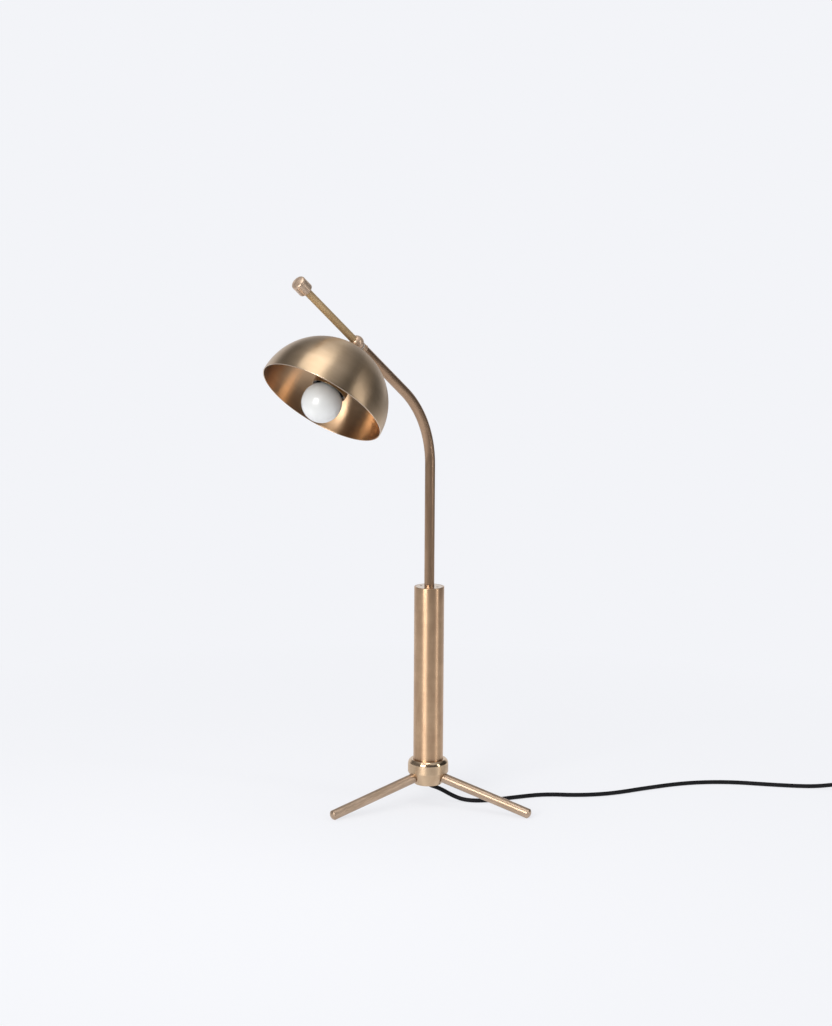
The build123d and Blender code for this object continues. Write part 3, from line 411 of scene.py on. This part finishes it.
# Stem. One brass tube, bent on a former and left darker than the rest. It stands in the column on
# a collar over a fixed bush, with a fibre washer between that gives it friction. A second collar under
# the bush keeps it in, and each collar has a grub screw.
STEM_RADIUS = 0.00635
STEM_YAW = radians(10.8)
STEM_CORNER = 0.2143
BEND_RADIUS = 0.123
ARM_RISE = radians(39.3)
ARM_REACH = 0.161
FERRULE_END = 0.015
stem_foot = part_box("stem_tube")[0][2]
stem_corner = column_top + STEM_CORNER
stem_place = column_place @ Matrix.Rotation(STEM_YAW, 4, "Z")
bend_turn = pi / 2 - ARM_RISE
bend_run = BEND_RADIUS * tan(bend_turn / 2)
bend_foot = stem_corner - bend_run
stem_line = []
for step in range(9):
    stem_line.append(((0.0, stem_foot + (bend_foot - stem_foot) * step / 9), 0.0))
for step in range(33):
    lean = bend_turn * step / 32
    stem_line.append(((BEND_RADIUS * (cos(lean) - 1), bend_foot + BEND_RADIUS * sin(lean)), lean))
for step in range(1, 7):
    reach = bend_run + (ARM_REACH - FERRULE_END - bend_run) * step / 6
    stem_line.append(((-reach * cos(ARM_RISE), stem_corner + reach * sin(ARM_RISE)), bend_turn))
stem_middle = Vector((0, 0, stem_foot))
stem_rings = [[stem_middle]]
stem_lengths = [0.0]
for (across, height), lean in stem_line:
    ring = []
    for step in range(48):
        angle = 2 * pi * step / 48
        side = STEM_RADIUS * cos(angle)
        ring.append((across + side * cos(lean), STEM_RADIUS * sin(angle), height + side * sin(lean)))
    middle = Vector((across, 0, height))
    stem_lengths.append(stem_lengths[-1] + (middle - stem_middle).length)
    stem_rings.append(ring)
    stem_middle = middle
stem_rings.append([stem_middle])
stem_lengths.append(stem_lengths[-1])
stem_brass = brass(
    "stem_brass",
    light=(0.46, 0.305, 0.20),
    deep=(0.38, 0.245, 0.155),
    roughness=0.31,
    stretch=0.7,
    grain=(0.6, 300),
    brushing=0.0,
    bare=0.9,
)
stem = skinned("stem_bend", stem_rings, stem_lengths, stem_place, stem_brass)
settle(stem, "stem", "dark_brass", "stem_tube")
fibre = solid_finish(
    "pressed_fibre",
    (0.24, 0.085, 0.045),
    (0.15, 0.05, 0.028),
    roughness=0.62,
    metal=0.0,
    scale=500,
    relief=0.00006,
)
dress(plain_brass, "thrust_collar", "retaining_collar")
dress(fibre, "friction_washer")
dress(zinc, "collar_grub_screws")


# Ferrule and ball. A turned sleeve closes the stem's end, and the ball's hollow stub turns in it. A
# small screw through the sleeve runs in the stub's groove and keeps the ball from pulling out.
FERRULE_BORE = 0.00455
FERRULE_FACE = 0.0088
SPIGOT_RADIUS = 0.0051
SPIGOT_END = 0.026
head_turn = Matrix(
    (
        (cos(ARM_RISE), 0, sin(ARM_RISE), -ARM_REACH * cos(ARM_RISE)),
        (0, 1, 0, 0),
        (-sin(ARM_RISE), 0, cos(ARM_RISE), stem_corner + ARM_REACH * sin(ARM_RISE)),
        (0, 0, 0, 1),
    )
)
head_place = stem_place @ head_turn
towards_stem = head_place @ Matrix.Rotation(pi / 2, 4, "Y")
away_from_stem = head_place @ Matrix.Rotation(-pi / 2, 4, "Y")
ferrule_outline = eased(
    (FERRULE_BORE, FERRULE_FACE),
    (STEM_RADIUS, FERRULE_FACE, 0.0004),
    (STEM_RADIUS, FERRULE_END, 0.00025),
    (SPIGOT_RADIUS, FERRULE_END),
    (SPIGOT_RADIUS, SPIGOT_END),
    (FERRULE_BORE, SPIGOT_END),
)
ferrule_brass = brass(
    "ferrule_brass",
    light=(0.52, 0.37, 0.25),
    deep=(0.43, 0.30, 0.20),
    roughness=0.42,
    stretch=0.0,
    grain=(0.6, 300),
    bare=0.5,
)
ferrule = turned("ferrule_sleeve", ferrule_outline, towards_stem, ferrule_brass, turns=64)
settle(ferrule, "stem", "dark_brass", "arm_ferrule")
ball_brass = solid_finish(
    "ball_brass",
    (0.62, 0.46, 0.34),
    (0.53, 0.38, 0.27),
    roughness=0.34,
    metal=0.6,
    scale=600,
    relief=0.000005,
)
dress(ball_brass, "knuckle_ball", "ferrule_screw")
white_nylon = solid_finish(
    "white_nylon",
    (0.80, 0.80, 0.77),
    (0.72, 0.72, 0.69),
    roughness=0.42,
    metal=0.0,
    scale=600,
    relief=0.00004,
)
dress(white_nylon, "swivel_washer")


# Handle. A thin drawn brass rod screwed into the ball, and a turned end cap with a rounded end pressed on
# it. The shade is turned by it, and handling has left both with a soft, even patina.
ROD_RADIUS = 0.00475
ROD_START = 0.0072
ROD_END = 0.1158
CAP_RADIUS = 0.0092
CAP_FOOT = 0.1048
CAP_TOP = 0.1228
CAP_DOME = 0.0022
CAP_FOOT_EDGE = 0.0006
CAP_DOME_EDGE = 0.0018
rod_outline = [(0.0, ROD_START), (ROD_RADIUS, ROD_START)]
rod_outline += [(ROD_RADIUS, ROD_START + (ROD_END - ROD_START) * step / 8) for step in range(1, 9)]
rod_outline.append((0.0, ROD_END))
rod_brass = brass(
    "rod_brass",
    light=(0.52, 0.37, 0.20),
    deep=(0.42, 0.29, 0.15),
    roughness=0.42,
    stretch=0.5,
    grain=(0.6, 300),
    brushing=0.0,
    bare=0.45,
)
rod = turned("handle_bar", rod_outline, away_from_stem, rod_brass, closed=False, turns=64)
settle(rod, "head", "dark_brass", "handle_rod")
cap_outline = domed_bar(CAP_RADIUS, CAP_FOOT, CAP_TOP, CAP_DOME, CAP_FOOT_EDGE, CAP_DOME_EDGE)
cap_brass = brass(
    "cap_brass",
    light=(0.57, 0.43, 0.32),
    deep=(0.49, 0.36, 0.265),
    roughness=0.33,
    stretch=0.0,
    grain=(0.6, 300),
    bare=0.65,
)
cap = turned("handle_end", cap_outline, away_from_stem, cap_brass, closed=False, turns=96)
settle(cap, "head", "satin_brass", "handle_cap")


# Shade. Spun from one brass disc over a former and brushed round on the lathe, so its highlights run
# from the top to the rim. The inside is smoother, and its darker, warmer brass is partly painted shade
# for the hollow. The rim is rounded, and its lighter faced brass is partly a painted highlight along
# its edge. A flat at the top is clamped to the ball's neck.
SHADE_RADIUS = 0.08
SHADE_WALL = 0.0012
SHADE_SEAT = 0.008
SEAT_DROP = 0.0092
NIPPLE_WAY = 0.0041
seat_height = sqrt(SHADE_RADIUS**2 - SHADE_SEAT**2)
shade_place = head_place @ Matrix.Translation((0, 0, -SEAT_DROP - seat_height))
inner_radius = SHADE_RADIUS - SHADE_WALL
shade_outline = []
outer_rise = asin(seat_height / SHADE_RADIUS)
inner_rise = asin((seat_height - SHADE_WALL) / inner_radius)
for step in range(65):
    rise = outer_rise * step / 64
    shade_outline.append((SHADE_RADIUS * cos(rise), SHADE_RADIUS * sin(rise)))
shade_outline += [(NIPPLE_WAY, seat_height), (NIPPLE_WAY, seat_height - SHADE_WALL)]
for step in range(64, -1, -1):
    rise = inner_rise * step / 64
    shade_outline.append((inner_radius * cos(rise), inner_radius * sin(rise)))
for step in range(1, 8):
    roll = pi + pi * step / 8
    middle = SHADE_RADIUS - SHADE_WALL / 2
    shade_outline.append((middle + SHADE_WALL / 2 * cos(roll), SHADE_WALL / 2 * sin(roll)))
shade_brass = brass(
    "shade_brass",
    light=(0.58, 0.44, 0.30),
    deep=(0.49, 0.36, 0.235),
    roughness=0.37,
    stretch=0.82,
    grain=(3, 900),
)
# The inside's brass is darker and warmer than the outside's: partly painted shade for the hollow.
shaded_inside_brass = brass(
    "shaded_inside_brass",
    light=(0.52, 0.36, 0.225),
    deep=(0.45, 0.30, 0.185),
    roughness=0.30,
    stretch=0.88,
    grain=(3, 900),
)
shade = turned("shade_spinning", shade_outline, shade_place, shade_brass, turns=192)
shade.data.materials.append(shaded_inside_brass)
# The rim gets the lighter faced brass, partly a painted highlight along its edge.
shade.data.materials.append(faced_brass)
shaded_inside_index, rim_highlight_index = 1, 2
in_shade = shade_place.inverted()
# Faces below the rim plane take the painted rim highlight, and faces on the inner wall the painted shade.
for face in shade.data.polygons:
    spot = in_shade @ face.center
    if spot.z < -0.1 * SHADE_WALL:
        face.material_index = rim_highlight_index
    elif spot.length < SHADE_RADIUS - SHADE_WALL / 2:
        face.material_index = shaded_inside_index
settle(shade, "head", "satin_brass", "shade")
dress(plain_brass, "nipple", "shade_nut")
dress(fibre, "shade_washer")


# Lampholder. A drawn brass cup round a black moulded holder, whose mouth shows inside the cup's edge.
# Inside are a brass screw shell and a sprung contact, and the whole stack hangs on the nipple.
CUP_RADIUS = 0.0222
CUP_WALL = 0.001
CUP_SHOULDER = 0.006
CUP_TOP = -0.0134
CUP_RIM = -0.0716
CUP_EDGE = 0.0004
cup_outline = [(NIPPLE_WAY, CUP_TOP), (CUP_RADIUS - CUP_SHOULDER, CUP_TOP)]
for step in range(1, 13):
    rise = pi / 2 * step / 12
    shoulder_radius = CUP_RADIUS - CUP_SHOULDER + CUP_SHOULDER * sin(rise)
    cup_outline.append((shoulder_radius, CUP_TOP - CUP_SHOULDER + CUP_SHOULDER * cos(rise)))
cup_outline += eased(
    (CUP_RADIUS, CUP_RIM, CUP_EDGE),
    (CUP_RADIUS - CUP_WALL, CUP_RIM, CUP_EDGE),
    (CUP_RADIUS - CUP_WALL, CUP_TOP - CUP_SHOULDER),
    (CUP_RADIUS - CUP_SHOULDER, CUP_TOP - CUP_WALL),
    (NIPPLE_WAY, CUP_TOP - CUP_WALL),
)
# The cup's brass is darker than the shade's: painted shade for its place deep inside the shade.
shaded_cup_brass = brass(
    "shaded_cup_brass", light=(0.42, 0.30, 0.18), deep=(0.34, 0.235, 0.135), roughness=0.28, stretch=0.7
)
cup = turned("socket_cup_drawing", cup_outline, head_place, shaded_cup_brass)
settle(cup, "head", "satin_brass", "socket_cup")
HOLDER_RADIUS = 0.021
MOUTH_RADIUS = 0.0183
SHELL_WAY = 0.01445
HOLDER_ROOF = -0.0288
HOLDER_FLOOR = -0.033
MOUTH_STEP = -0.062
HOLDER_MOUTH = -0.0698
holder_outline = eased(
    (0.0, HOLDER_ROOF),
    (HOLDER_RADIUS, HOLDER_ROOF),
    (HOLDER_RADIUS, HOLDER_MOUTH, 0.001),
    (MOUTH_RADIUS, HOLDER_MOUTH, 0.0006),
    (MOUTH_RADIUS, MOUTH_STEP),
    (SHELL_WAY, MOUTH_STEP),
    (SHELL_WAY, HOLDER_FLOOR),
    (0.0, HOLDER_FLOOR),
)
black_moulding = solid_finish(
    "black_moulding",
    (0.022, 0.022, 0.024),
    (0.014, 0.014, 0.015),
    roughness=0.34,
    metal=0.0,
    scale=1800,
    relief=0.00003,
)
black_moulding.node_tree.nodes["Principled BSDF"].inputs["Specular IOR Level"].default_value = 0.3
holder = turned("lampholder_moulding", holder_outline, head_place, black_moulding, closed=False)
settle(holder, "head", "black_plastic", "lampholder_body")
dress(black_moulding, "lampholder_cap")
dress(plain_brass, "screw_shell", "centre_contact")


# Bulb. A blown glass globe, frosted white inside, drawn in to a neck and cemented into a screw base
# of thin brass with a black glass insulator and a soldered contact.
GLOBE_RADIUS = 0.0245
NECK_RADIUS = 0.0126
NECK_BLEND = 0.006
NECK_TOP = 0.0322
blend_radius = NECK_RADIUS + NECK_BLEND
blend_height = sqrt((GLOBE_RADIUS + NECK_BLEND) ** 2 - blend_radius**2)
globe_end = atan2(blend_height, blend_radius)
bulb_outline = []
for step in range(49):
    rise = -pi / 2 + (globe_end + pi / 2) * step / 48
    bulb_outline.append((GLOBE_RADIUS * cos(rise) if step else 0.0, GLOBE_RADIUS * sin(rise)))
for step in range(1, 9):
    swing = globe_end + pi - globe_end * step / 8
    bulb_outline.append((blend_radius + NECK_BLEND * cos(swing), blend_height + NECK_BLEND * sin(swing)))
bulb_outline += [(NECK_RADIUS, NECK_TOP), (0.0, NECK_TOP)]
frosted, opal, add, join = blank_finish("frosted_opal")
spot = add("TexCoord")
mottle = add("TexNoise")
mottle.inputs["Scale"].default_value = 60.0
mottle.inputs["Detail"].default_value = 3.0
join(spot.outputs["Object"], mottle.inputs["Vector"])
opal_tone = ranged(add, join, mottle.outputs["Fac"], 0.3, 0.7, 0, 1)
join(mixed(add, join, opal_tone, (0.54, 0.55, 0.55), (0.575, 0.585, 0.585)), opal.inputs["Base Color"])
join(ranged(add, join, mottle.outputs["Fac"], 0.3, 0.7, 0.44, 0.50), opal.inputs["Roughness"])
opal.inputs["Subsurface Weight"].default_value = 1.0
opal.inputs["Subsurface Radius"].default_value = (0.05, 0.05, 0.05)
opal.inputs["Subsurface Scale"].default_value = 1.0
opal.inputs["Coat Weight"].default_value = 0.8
opal.inputs["Coat Roughness"].default_value = 0.05
globe = turned("bulb_glass", bulb_outline, shade_place, frosted, closed=False)
settle(globe, "head", "frosted_glass", "bulb_globe")
black_glass = solid_finish(
    "black_glass",
    (0.02, 0.02, 0.02),
    (0.012, 0.012, 0.012),
    roughness=0.15,
    metal=0.0,
    scale=400,
    relief=0.00001,
)
dress(plain_brass, "bulb_base", "bulb_contact")
dress(black_glass, "bulb_insulator")


# Inside the lamp. The cord's end goes through a rubber gland and a stop to a white terminal block in
# the column, and pale inner leads run from there through the stem and the ball to the lampholder.
sheath = solid_finish(
    "lead_sheath",
    (0.74, 0.74, 0.71),
    (0.66, 0.66, 0.63),
    roughness=0.45,
    metal=0.0,
    scale=700,
    relief=0.00003,
)
black_rubber = solid_finish(
    "black_rubber",
    (0.020, 0.020, 0.022),
    (0.013, 0.013, 0.014),
    roughness=0.5,
    metal=0.0,
    scale=1500,
    relief=0.00005,
)
dress(black_rubber, "cord_gland", "inlet_cord")
dress(white_nylon, "cord_stop", "terminal_block")
dress(plain_brass, "terminal_screws")
dress(sheath, "column_lead", "stem_lead", "head_lead")


# In-line switch. Two black mouldings screwed together round the cord, with a polished rocker that tips
# on its own pins and a tapered rubber sleeve at each end. It lies on the table past the lamp.
rocker_gloss = solid_finish(
    "rocker_gloss",
    (0.03, 0.03, 0.032),
    (0.022, 0.022, 0.024),
    roughness=0.2,
    metal=0.0,
    scale=1200,
    relief=0.00002,
    coat=0.3,
)
dress(black_moulding, "switch_base", "switch_cover")
dress(rocker_gloss, "switch_rocker")
dress(black_rubber, "switch_sleeves")
dress(zinc, "switch_screws")


# Plug. Two flat brass blades in a black body that is moulded on the cord's end, with a tapered sleeve
# where the cord goes in.
dress(black_moulding, "plug_body")
dress(plain_brass, "plug_blades")


# Cord. One round black lead from the gland under the hub, along the table behind the right-hand leg
# and through the switch. The rest is put away in a small flat coil beside it, with the plug at its end.
CORD_RADIUS = 0.00275
CORD_ENTRY = (0.583, -0.237)
SWITCH_YAW = radians(-34.5)
SWITCH_SLEEVE = 0.022
SWITCH_LENGTH = 0.06
SWITCH_CORD_HEIGHT = 0.0065
COIL_LEAD = 0.038
COIL_RADIUS = 0.0385
COIL_PITCH = 0.0061
COIL_FLOOR = 0.00355
COIL_TURNS = 5.5
CLIMB_START = 2.5
CLIMB_TURN = 0.5
POINTS_PER_TURN = 24
PLUG_LEAD = 0.01
LEAD_DROP_START = 0.015
LEAD_DROP = 0.0015
gland_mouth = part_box("cord_gland")[0][2]
route = [
    (COLUMN_X, 0.0, gland_mouth),
    (COLUMN_X, 0.0, gland_mouth - 0.0046),
    (0.0854, -0.0012, 0.0230),
    (0.0920, -0.0036, 0.0206),
    (0.1014, -0.0062, 0.0154),
    (0.1130, -0.0105, 0.0076),
    (0.1234, -0.0203, 0.0028),
    (0.1360, -0.0340, 0.0028),
    (0.1600, -0.0422, 0.0028),
    (0.1915, -0.0465, 0.0028),
    (0.2280, -0.0545, 0.0028),
    (0.2620, -0.0820, 0.0028),
    (0.3040, -0.0985, 0.0028),
    (0.3610, -0.1015, 0.0028),
    (0.4210, -0.1100, 0.0028),
    (0.4700, -0.1355, 0.0028),
    (0.5090, -0.1760, 0.0028),
    (0.5415, -0.2055, 0.0028),
    (0.5580, -0.2190, 0.0042),
]
sleeve_place = Matrix.Translation((*CORD_ENTRY, 0)) @ Matrix.Rotation(SWITCH_YAW, 4, "Z")
lead_start = SWITCH_SLEEVE + SWITCH_LENGTH + SWITCH_SLEEVE
for along in (-0.01375, 0.0, 0.022, 0.042, 0.062, 0.082, lead_start, lead_start + 0.01, lead_start + 0.022):
    lowered = LEAD_DROP if along > lead_start + LEAD_DROP_START else 0.0
    route.append(tuple(sleeve_place @ Vector((along, 0, SWITCH_CORD_HEIGHT - lowered))))
coil_place = sleeve_place @ Matrix.Translation((lead_start + COIL_LEAD, COIL_RADIUS, 0))
for step in range(int(COIL_TURNS * POINTS_PER_TURN) + 1):
    turn = step / POINTS_PER_TURN
    radius = COIL_RADIUS - COIL_PITCH * min(turn, COIL_TURNS - turn)
    climb = min(max((turn - CLIMB_START) / CLIMB_TURN, 0), 1)
    angle = 2 * pi * turn - pi / 2
    height = COIL_FLOOR + COIL_PITCH * climb
    route.append(tuple(coil_place @ Vector((radius * cos(angle), radius * sin(angle), height))))
plug_mouth = coil_place @ Vector((-PLUG_LEAD, COIL_RADIUS, COIL_FLOOR + COIL_PITCH))
route.append(tuple(plug_mouth))
line = bpy.data.curves.new("mains_lead", "CURVE")
line.dimensions = "3D"
spline = line.splines.new("NURBS")
spline.points.add(len(route) - 1)
for point, spot in zip(spline.points, route):
    point.co = (*spot, 1)
spline.order_u = 3
spline.use_endpoint_u = True
line.resolution_u = 5
line.bevel_depth = CORD_RADIUS
line.bevel_resolution = 5
line.use_fill_caps = True
cord_sheath = solid_finish(
    "cord_sheath",
    (0.006, 0.006, 0.0075),
    (0.004, 0.004, 0.005),
    roughness=0.55,
    metal=0.0,
    scale=1300,
    relief=0.00003,
)
cord_sheath.node_tree.nodes["Principled BSDF"].inputs["Specular IOR Level"].default_value = 0.15
line.materials.append(cord_sheath)
lead = bpy.data.objects.new("mains_lead", line)
bpy.context.scene.collection.objects.link(lead)
settle(lead, "base", "cord_rubber", "mains_cord", "cord_coil")


# Cord tie. A narrow black woven band, closed on itself round one side of the coil. Its loop runs under
# the lowest turns and over the highest.
TIE_WIDTH = 0.007
TIE_THICKNESS = 0.0006
TIE_ROUND = 0.004
TIE_INSIDE = 0.02102
TIE_OUTSIDE = 0.04072
TIE_FLOOR = 0.00035
TIE_ROOF = 0.01310
TIE_STEP = 0.0012
tie_corners = (
    (TIE_OUTSIDE - TIE_ROUND, TIE_FLOOR + TIE_ROUND, -pi / 2),
    (TIE_OUTSIDE - TIE_ROUND, TIE_ROOF - TIE_ROUND, 0.0),
    (TIE_INSIDE + TIE_ROUND, TIE_ROOF - TIE_ROUND, pi / 2),
    (TIE_INSIDE + TIE_ROUND, TIE_FLOOR + TIE_ROUND, pi),
)
tie_rings = []
for across, height, start in tie_corners:
    for step in range(9):
        angle = start + pi / 2 * step / 8
        ring = []
        for offset, side in ((-1, -1), (1, -1), (1, 1), (-1, 1)):
            reach = TIE_ROUND + offset * TIE_THICKNESS / 2
            ring.append((across + reach * cos(angle), side * TIE_WIDTH / 2, height + reach * sin(angle)))
        tie_rings.append(ring)
tie_lengths = [TIE_STEP * index for index in range(len(tie_rings) + 1)]
woven = solid_finish(
    "woven_band",
    (0.030, 0.030, 0.032),
    (0.016, 0.016, 0.017),
    roughness=0.8,
    metal=0.0,
    scale=1600,
    relief=0.0001,
)
tie = skinned("coil_tie", tie_rings, tie_lengths, coil_place, woven)
settle(tie, "base", "tie_band", "cord_tie")


# Studio. A pale floor that runs into a pale sweep behind the lamp, in a room that is dim in front, with a
# pale ceiling and a paler panel in it. A soft box stands left of the camera, a tall narrow one on the
# right, and one hangs above.
BACKGROUND = (0.896, 0.905, 0.939)
CAMERA_TURN = radians(32.8)
CAMERA_SPOT = Vector((-1.4834, -2.3968, 0.8452))
CAMERA_PITCH = radians(9.27)
CAMERA_ROLL = radians(0.32)
FOCAL_PIXELS = 2300.0
IMAGE_HEIGHT = 1026.0
SENSOR = 36.0
PAPER_RADIUS = 2.0
PAPER_BEHIND = 1.0
PAPER_LEFT = 0.5
SHADOW_NEAR = 0.3
SHADOW_FAR = 1.0
DIM_FLOOR = 0.2
FLOOR_RADIUS = 9.0
SWEEP_TURN = radians(8.0)
ROOM_LEFT = 0.2
ROOM_RIGHT = 0.05
CEILING_LEVEL = 0.5
PANEL_LEVEL = 0.8
AMBIENT_LEVEL = 0.6
to_camera = Vector((-sin(CAMERA_TURN), -cos(CAMERA_TURN), 0))
to_right = Vector((cos(CAMERA_TURN), -sin(CAMERA_TURN), 0))


def either(add, join, first, second):
    """The larger of two values."""
    node = add("Math", operation="MAXIMUM")
    join(first, node.inputs[0])
    join(second, node.inputs[1])
    return node.outputs[0]


def seen_directly(add, join):
    """1 for what the camera sees, straight or in metal and glass, and 0 for what only lights things."""
    path = add("LightPath").outputs
    mirrored = either(add, join, path["Is Glossy Ray"], path["Is Transmission Ray"])
    return either(add, join, path["Is Camera Ray"], mirrored)


floor_finish, floor_shader, add, join = blank_finish("pale_floor")
floor_shader.inputs["Base Color"].default_value = (0.88, 0.885, 0.91, 1)
floor_shader.inputs["Roughness"].default_value = 0.9
floor_shader.inputs["Specular IOR Level"].default_value = 0.0
spot = add("TexCoord")
far = add("VectorMath", operation="LENGTH")
join(spot.outputs["Object"], far.inputs[0])
fade = ranged(add, join, far.outputs["Value"], SHADOW_NEAR, SHADOW_FAR, 0.75, 1.0)
shown = product(add, join, fade, seen_directly(add, join))
paper = add("VectorMath", operation="DISTANCE")
paper.inputs[1].default_value = to_camera * -PAPER_BEHIND - to_right * PAPER_LEFT
join(spot.outputs["Object"], paper.inputs[0])
paper_edge = ranged(
    add, join, paper.outputs["Value"], PAPER_RADIUS - 0.4, PAPER_RADIUS + 0.3, 1.0, DIM_FLOOR
)
glow = add("Emission")
glow.inputs[0].default_value = (*BACKGROUND, 1)
join(either(add, join, add("LightPath").outputs["Is Camera Ray"], paper_edge), glow.inputs[1])
blend = add("MixShader")
join(shown, blend.inputs[0])
join(floor_shader.outputs[0], blend.inputs[1])
join(glow.outputs[0], blend.inputs[2])
join(blend.outputs[0], floor_finish.node_tree.nodes["Material Output"].inputs[0])
floor_mesh = bpy.data.meshes.new("studio_floor")
floor_shape = bmesh.new()
bmesh.ops.create_circle(floor_shape, cap_ends=True, segments=96, radius=FLOOR_RADIUS)
floor_shape.to_mesh(floor_mesh)
floor_shape.free()
floor_mesh.materials.append(floor_finish)
floor = bpy.data.objects.new("studio_floor", floor_mesh)
bpy.context.scene.collection.objects.link(floor)

world = bpy.data.worlds.new("studio_air")
bpy.context.scene.world = world
world.use_nodes = True
air = world.node_tree
link_air = air.links.new


def add_air(kind, **settings):
    """Adds a node to the world's own tree."""
    node = air.nodes.new("ShaderNode" + kind)
    for key, value in settings.items():
        setattr(node, key, value)
    return node


def air_towards(way):
    """How far a direction in the room points a given way, from -1 to 1."""
    node = add_air("VectorMath", operation="DOT_PRODUCT")
    link_air(add_air("TexCoord").outputs["Generated"], node.inputs[0])
    node.inputs[1].default_value = way
    return node.outputs["Value"]


# Each part of the room fades in between two values of how far a direction points its way.
sweep_way = -to_camera * cos(SWEEP_TURN) - to_right * sin(SWEEP_TURN)
behind = ranged(add_air, link_air, air_towards(sweep_way), 0.5, 0.8, 0.0, 1.0)
low_down = ranged(add_air, link_air, air_towards((0, 0, 1)), 0.35, 0.65, 1.0, 0.0)
sweep = product(add_air, link_air, behind, low_down)
room = ranged(add_air, link_air, air_towards(to_right), -0.6, 0.75, ROOM_LEFT, ROOM_RIGHT)
ceiling = ranged(add_air, link_air, air_towards((0, 0, 1)), 0.5, 0.9, 0.0, CEILING_LEVEL)
panel_way = to_camera * 0.36 + to_right * 0.30 + Vector((0, 0, 0.88))
panel = ranged(add_air, link_air, air_towards(panel_way), 0.86, 0.98, 0.0, PANEL_LEVEL)
overhead = either(add_air, link_air, ceiling, panel)
level = either(add_air, link_air, sweep, either(add_air, link_air, room, overhead))
ambient = air.nodes["Background"]
ambient.inputs[0].default_value = (0.97, 0.98, 1.0, 1)
ambient.inputs[1].default_value = AMBIENT_LEVEL
backdrop = add_air("Background")
backdrop.inputs[0].default_value = (*BACKGROUND, 1)
seen_level = either(add_air, link_air, add_air("LightPath").outputs["Is Camera Ray"], level)
link_air(seen_level, backdrop.inputs[1])
blend = add_air("MixShader")
link_air(seen_directly(add_air, link_air), blend.inputs[0])
link_air(ambient.outputs[0], blend.inputs[1])
link_air(backdrop.outputs[0], blend.inputs[2])
link_air(blend.outputs[0], air.nodes["World Output"].inputs[0])

lamp_middle = Vector((0.0, 0.0, 0.35))


def soft_box(name, turn, height, away, width, tall, power, tint):
    """A soft box aimed at the lamp. turn is in degrees to the right of the camera."""
    light = bpy.data.lights.new(name, "AREA")
    light.shape = "RECTANGLE"
    light.size = width
    light.size_y = tall
    light.energy = power
    light.color = tint
    box = bpy.data.objects.new(name, light)
    bpy.context.scene.collection.objects.link(box)
    side = to_camera * cos(radians(turn)) + to_right * sin(radians(turn))
    box.location = lamp_middle + side * away + Vector((0, 0, height))
    box.rotation_mode = "QUATERNION"
    box.rotation_quaternion = (lamp_middle - box.location).to_track_quat("-Z", "Y")


soft_box(
    "left_box", turn=-30, height=0.72, away=2.2, width=1.10, tall=1.10, power=39.0, tint=(1.0, 0.98, 0.95)
)
soft_box(
    "right_box", turn=66, height=0.50, away=2.2, width=0.32, tall=1.65, power=9.0, tint=(1.0, 0.98, 0.96)
)
soft_box(
    "top_box", turn=-37, height=1.75, away=0.46, width=1.15, tall=1.10, power=10.5, tint=(1.0, 0.99, 0.97)
)

ahead = Vector(
    (sin(CAMERA_TURN) * cos(CAMERA_PITCH), cos(CAMERA_TURN) * cos(CAMERA_PITCH), -sin(CAMERA_PITCH))
)
level_up = to_right.cross(ahead)
right = to_right * cos(CAMERA_ROLL) + level_up * sin(CAMERA_ROLL)
upward = level_up * cos(CAMERA_ROLL) - to_right * sin(CAMERA_ROLL)
camera_data = bpy.data.cameras.new("studio_camera")
camera_data.sensor_width = SENSOR
camera_data.lens = FOCAL_PIXELS / IMAGE_HEIGHT * SENSOR
camera_data.clip_end = 50.0
camera = bpy.data.objects.new("studio_camera", camera_data)
bpy.context.scene.collection.objects.link(camera)
camera_turn = Matrix((right, upward, -ahead)).transposed().to_4x4()
camera.matrix_world = Matrix.Translation(CAMERA_SPOT) @ camera_turn
bpy.context.scene.camera = camera
bpy.context.scene.view_settings.view_transform = "Standard"
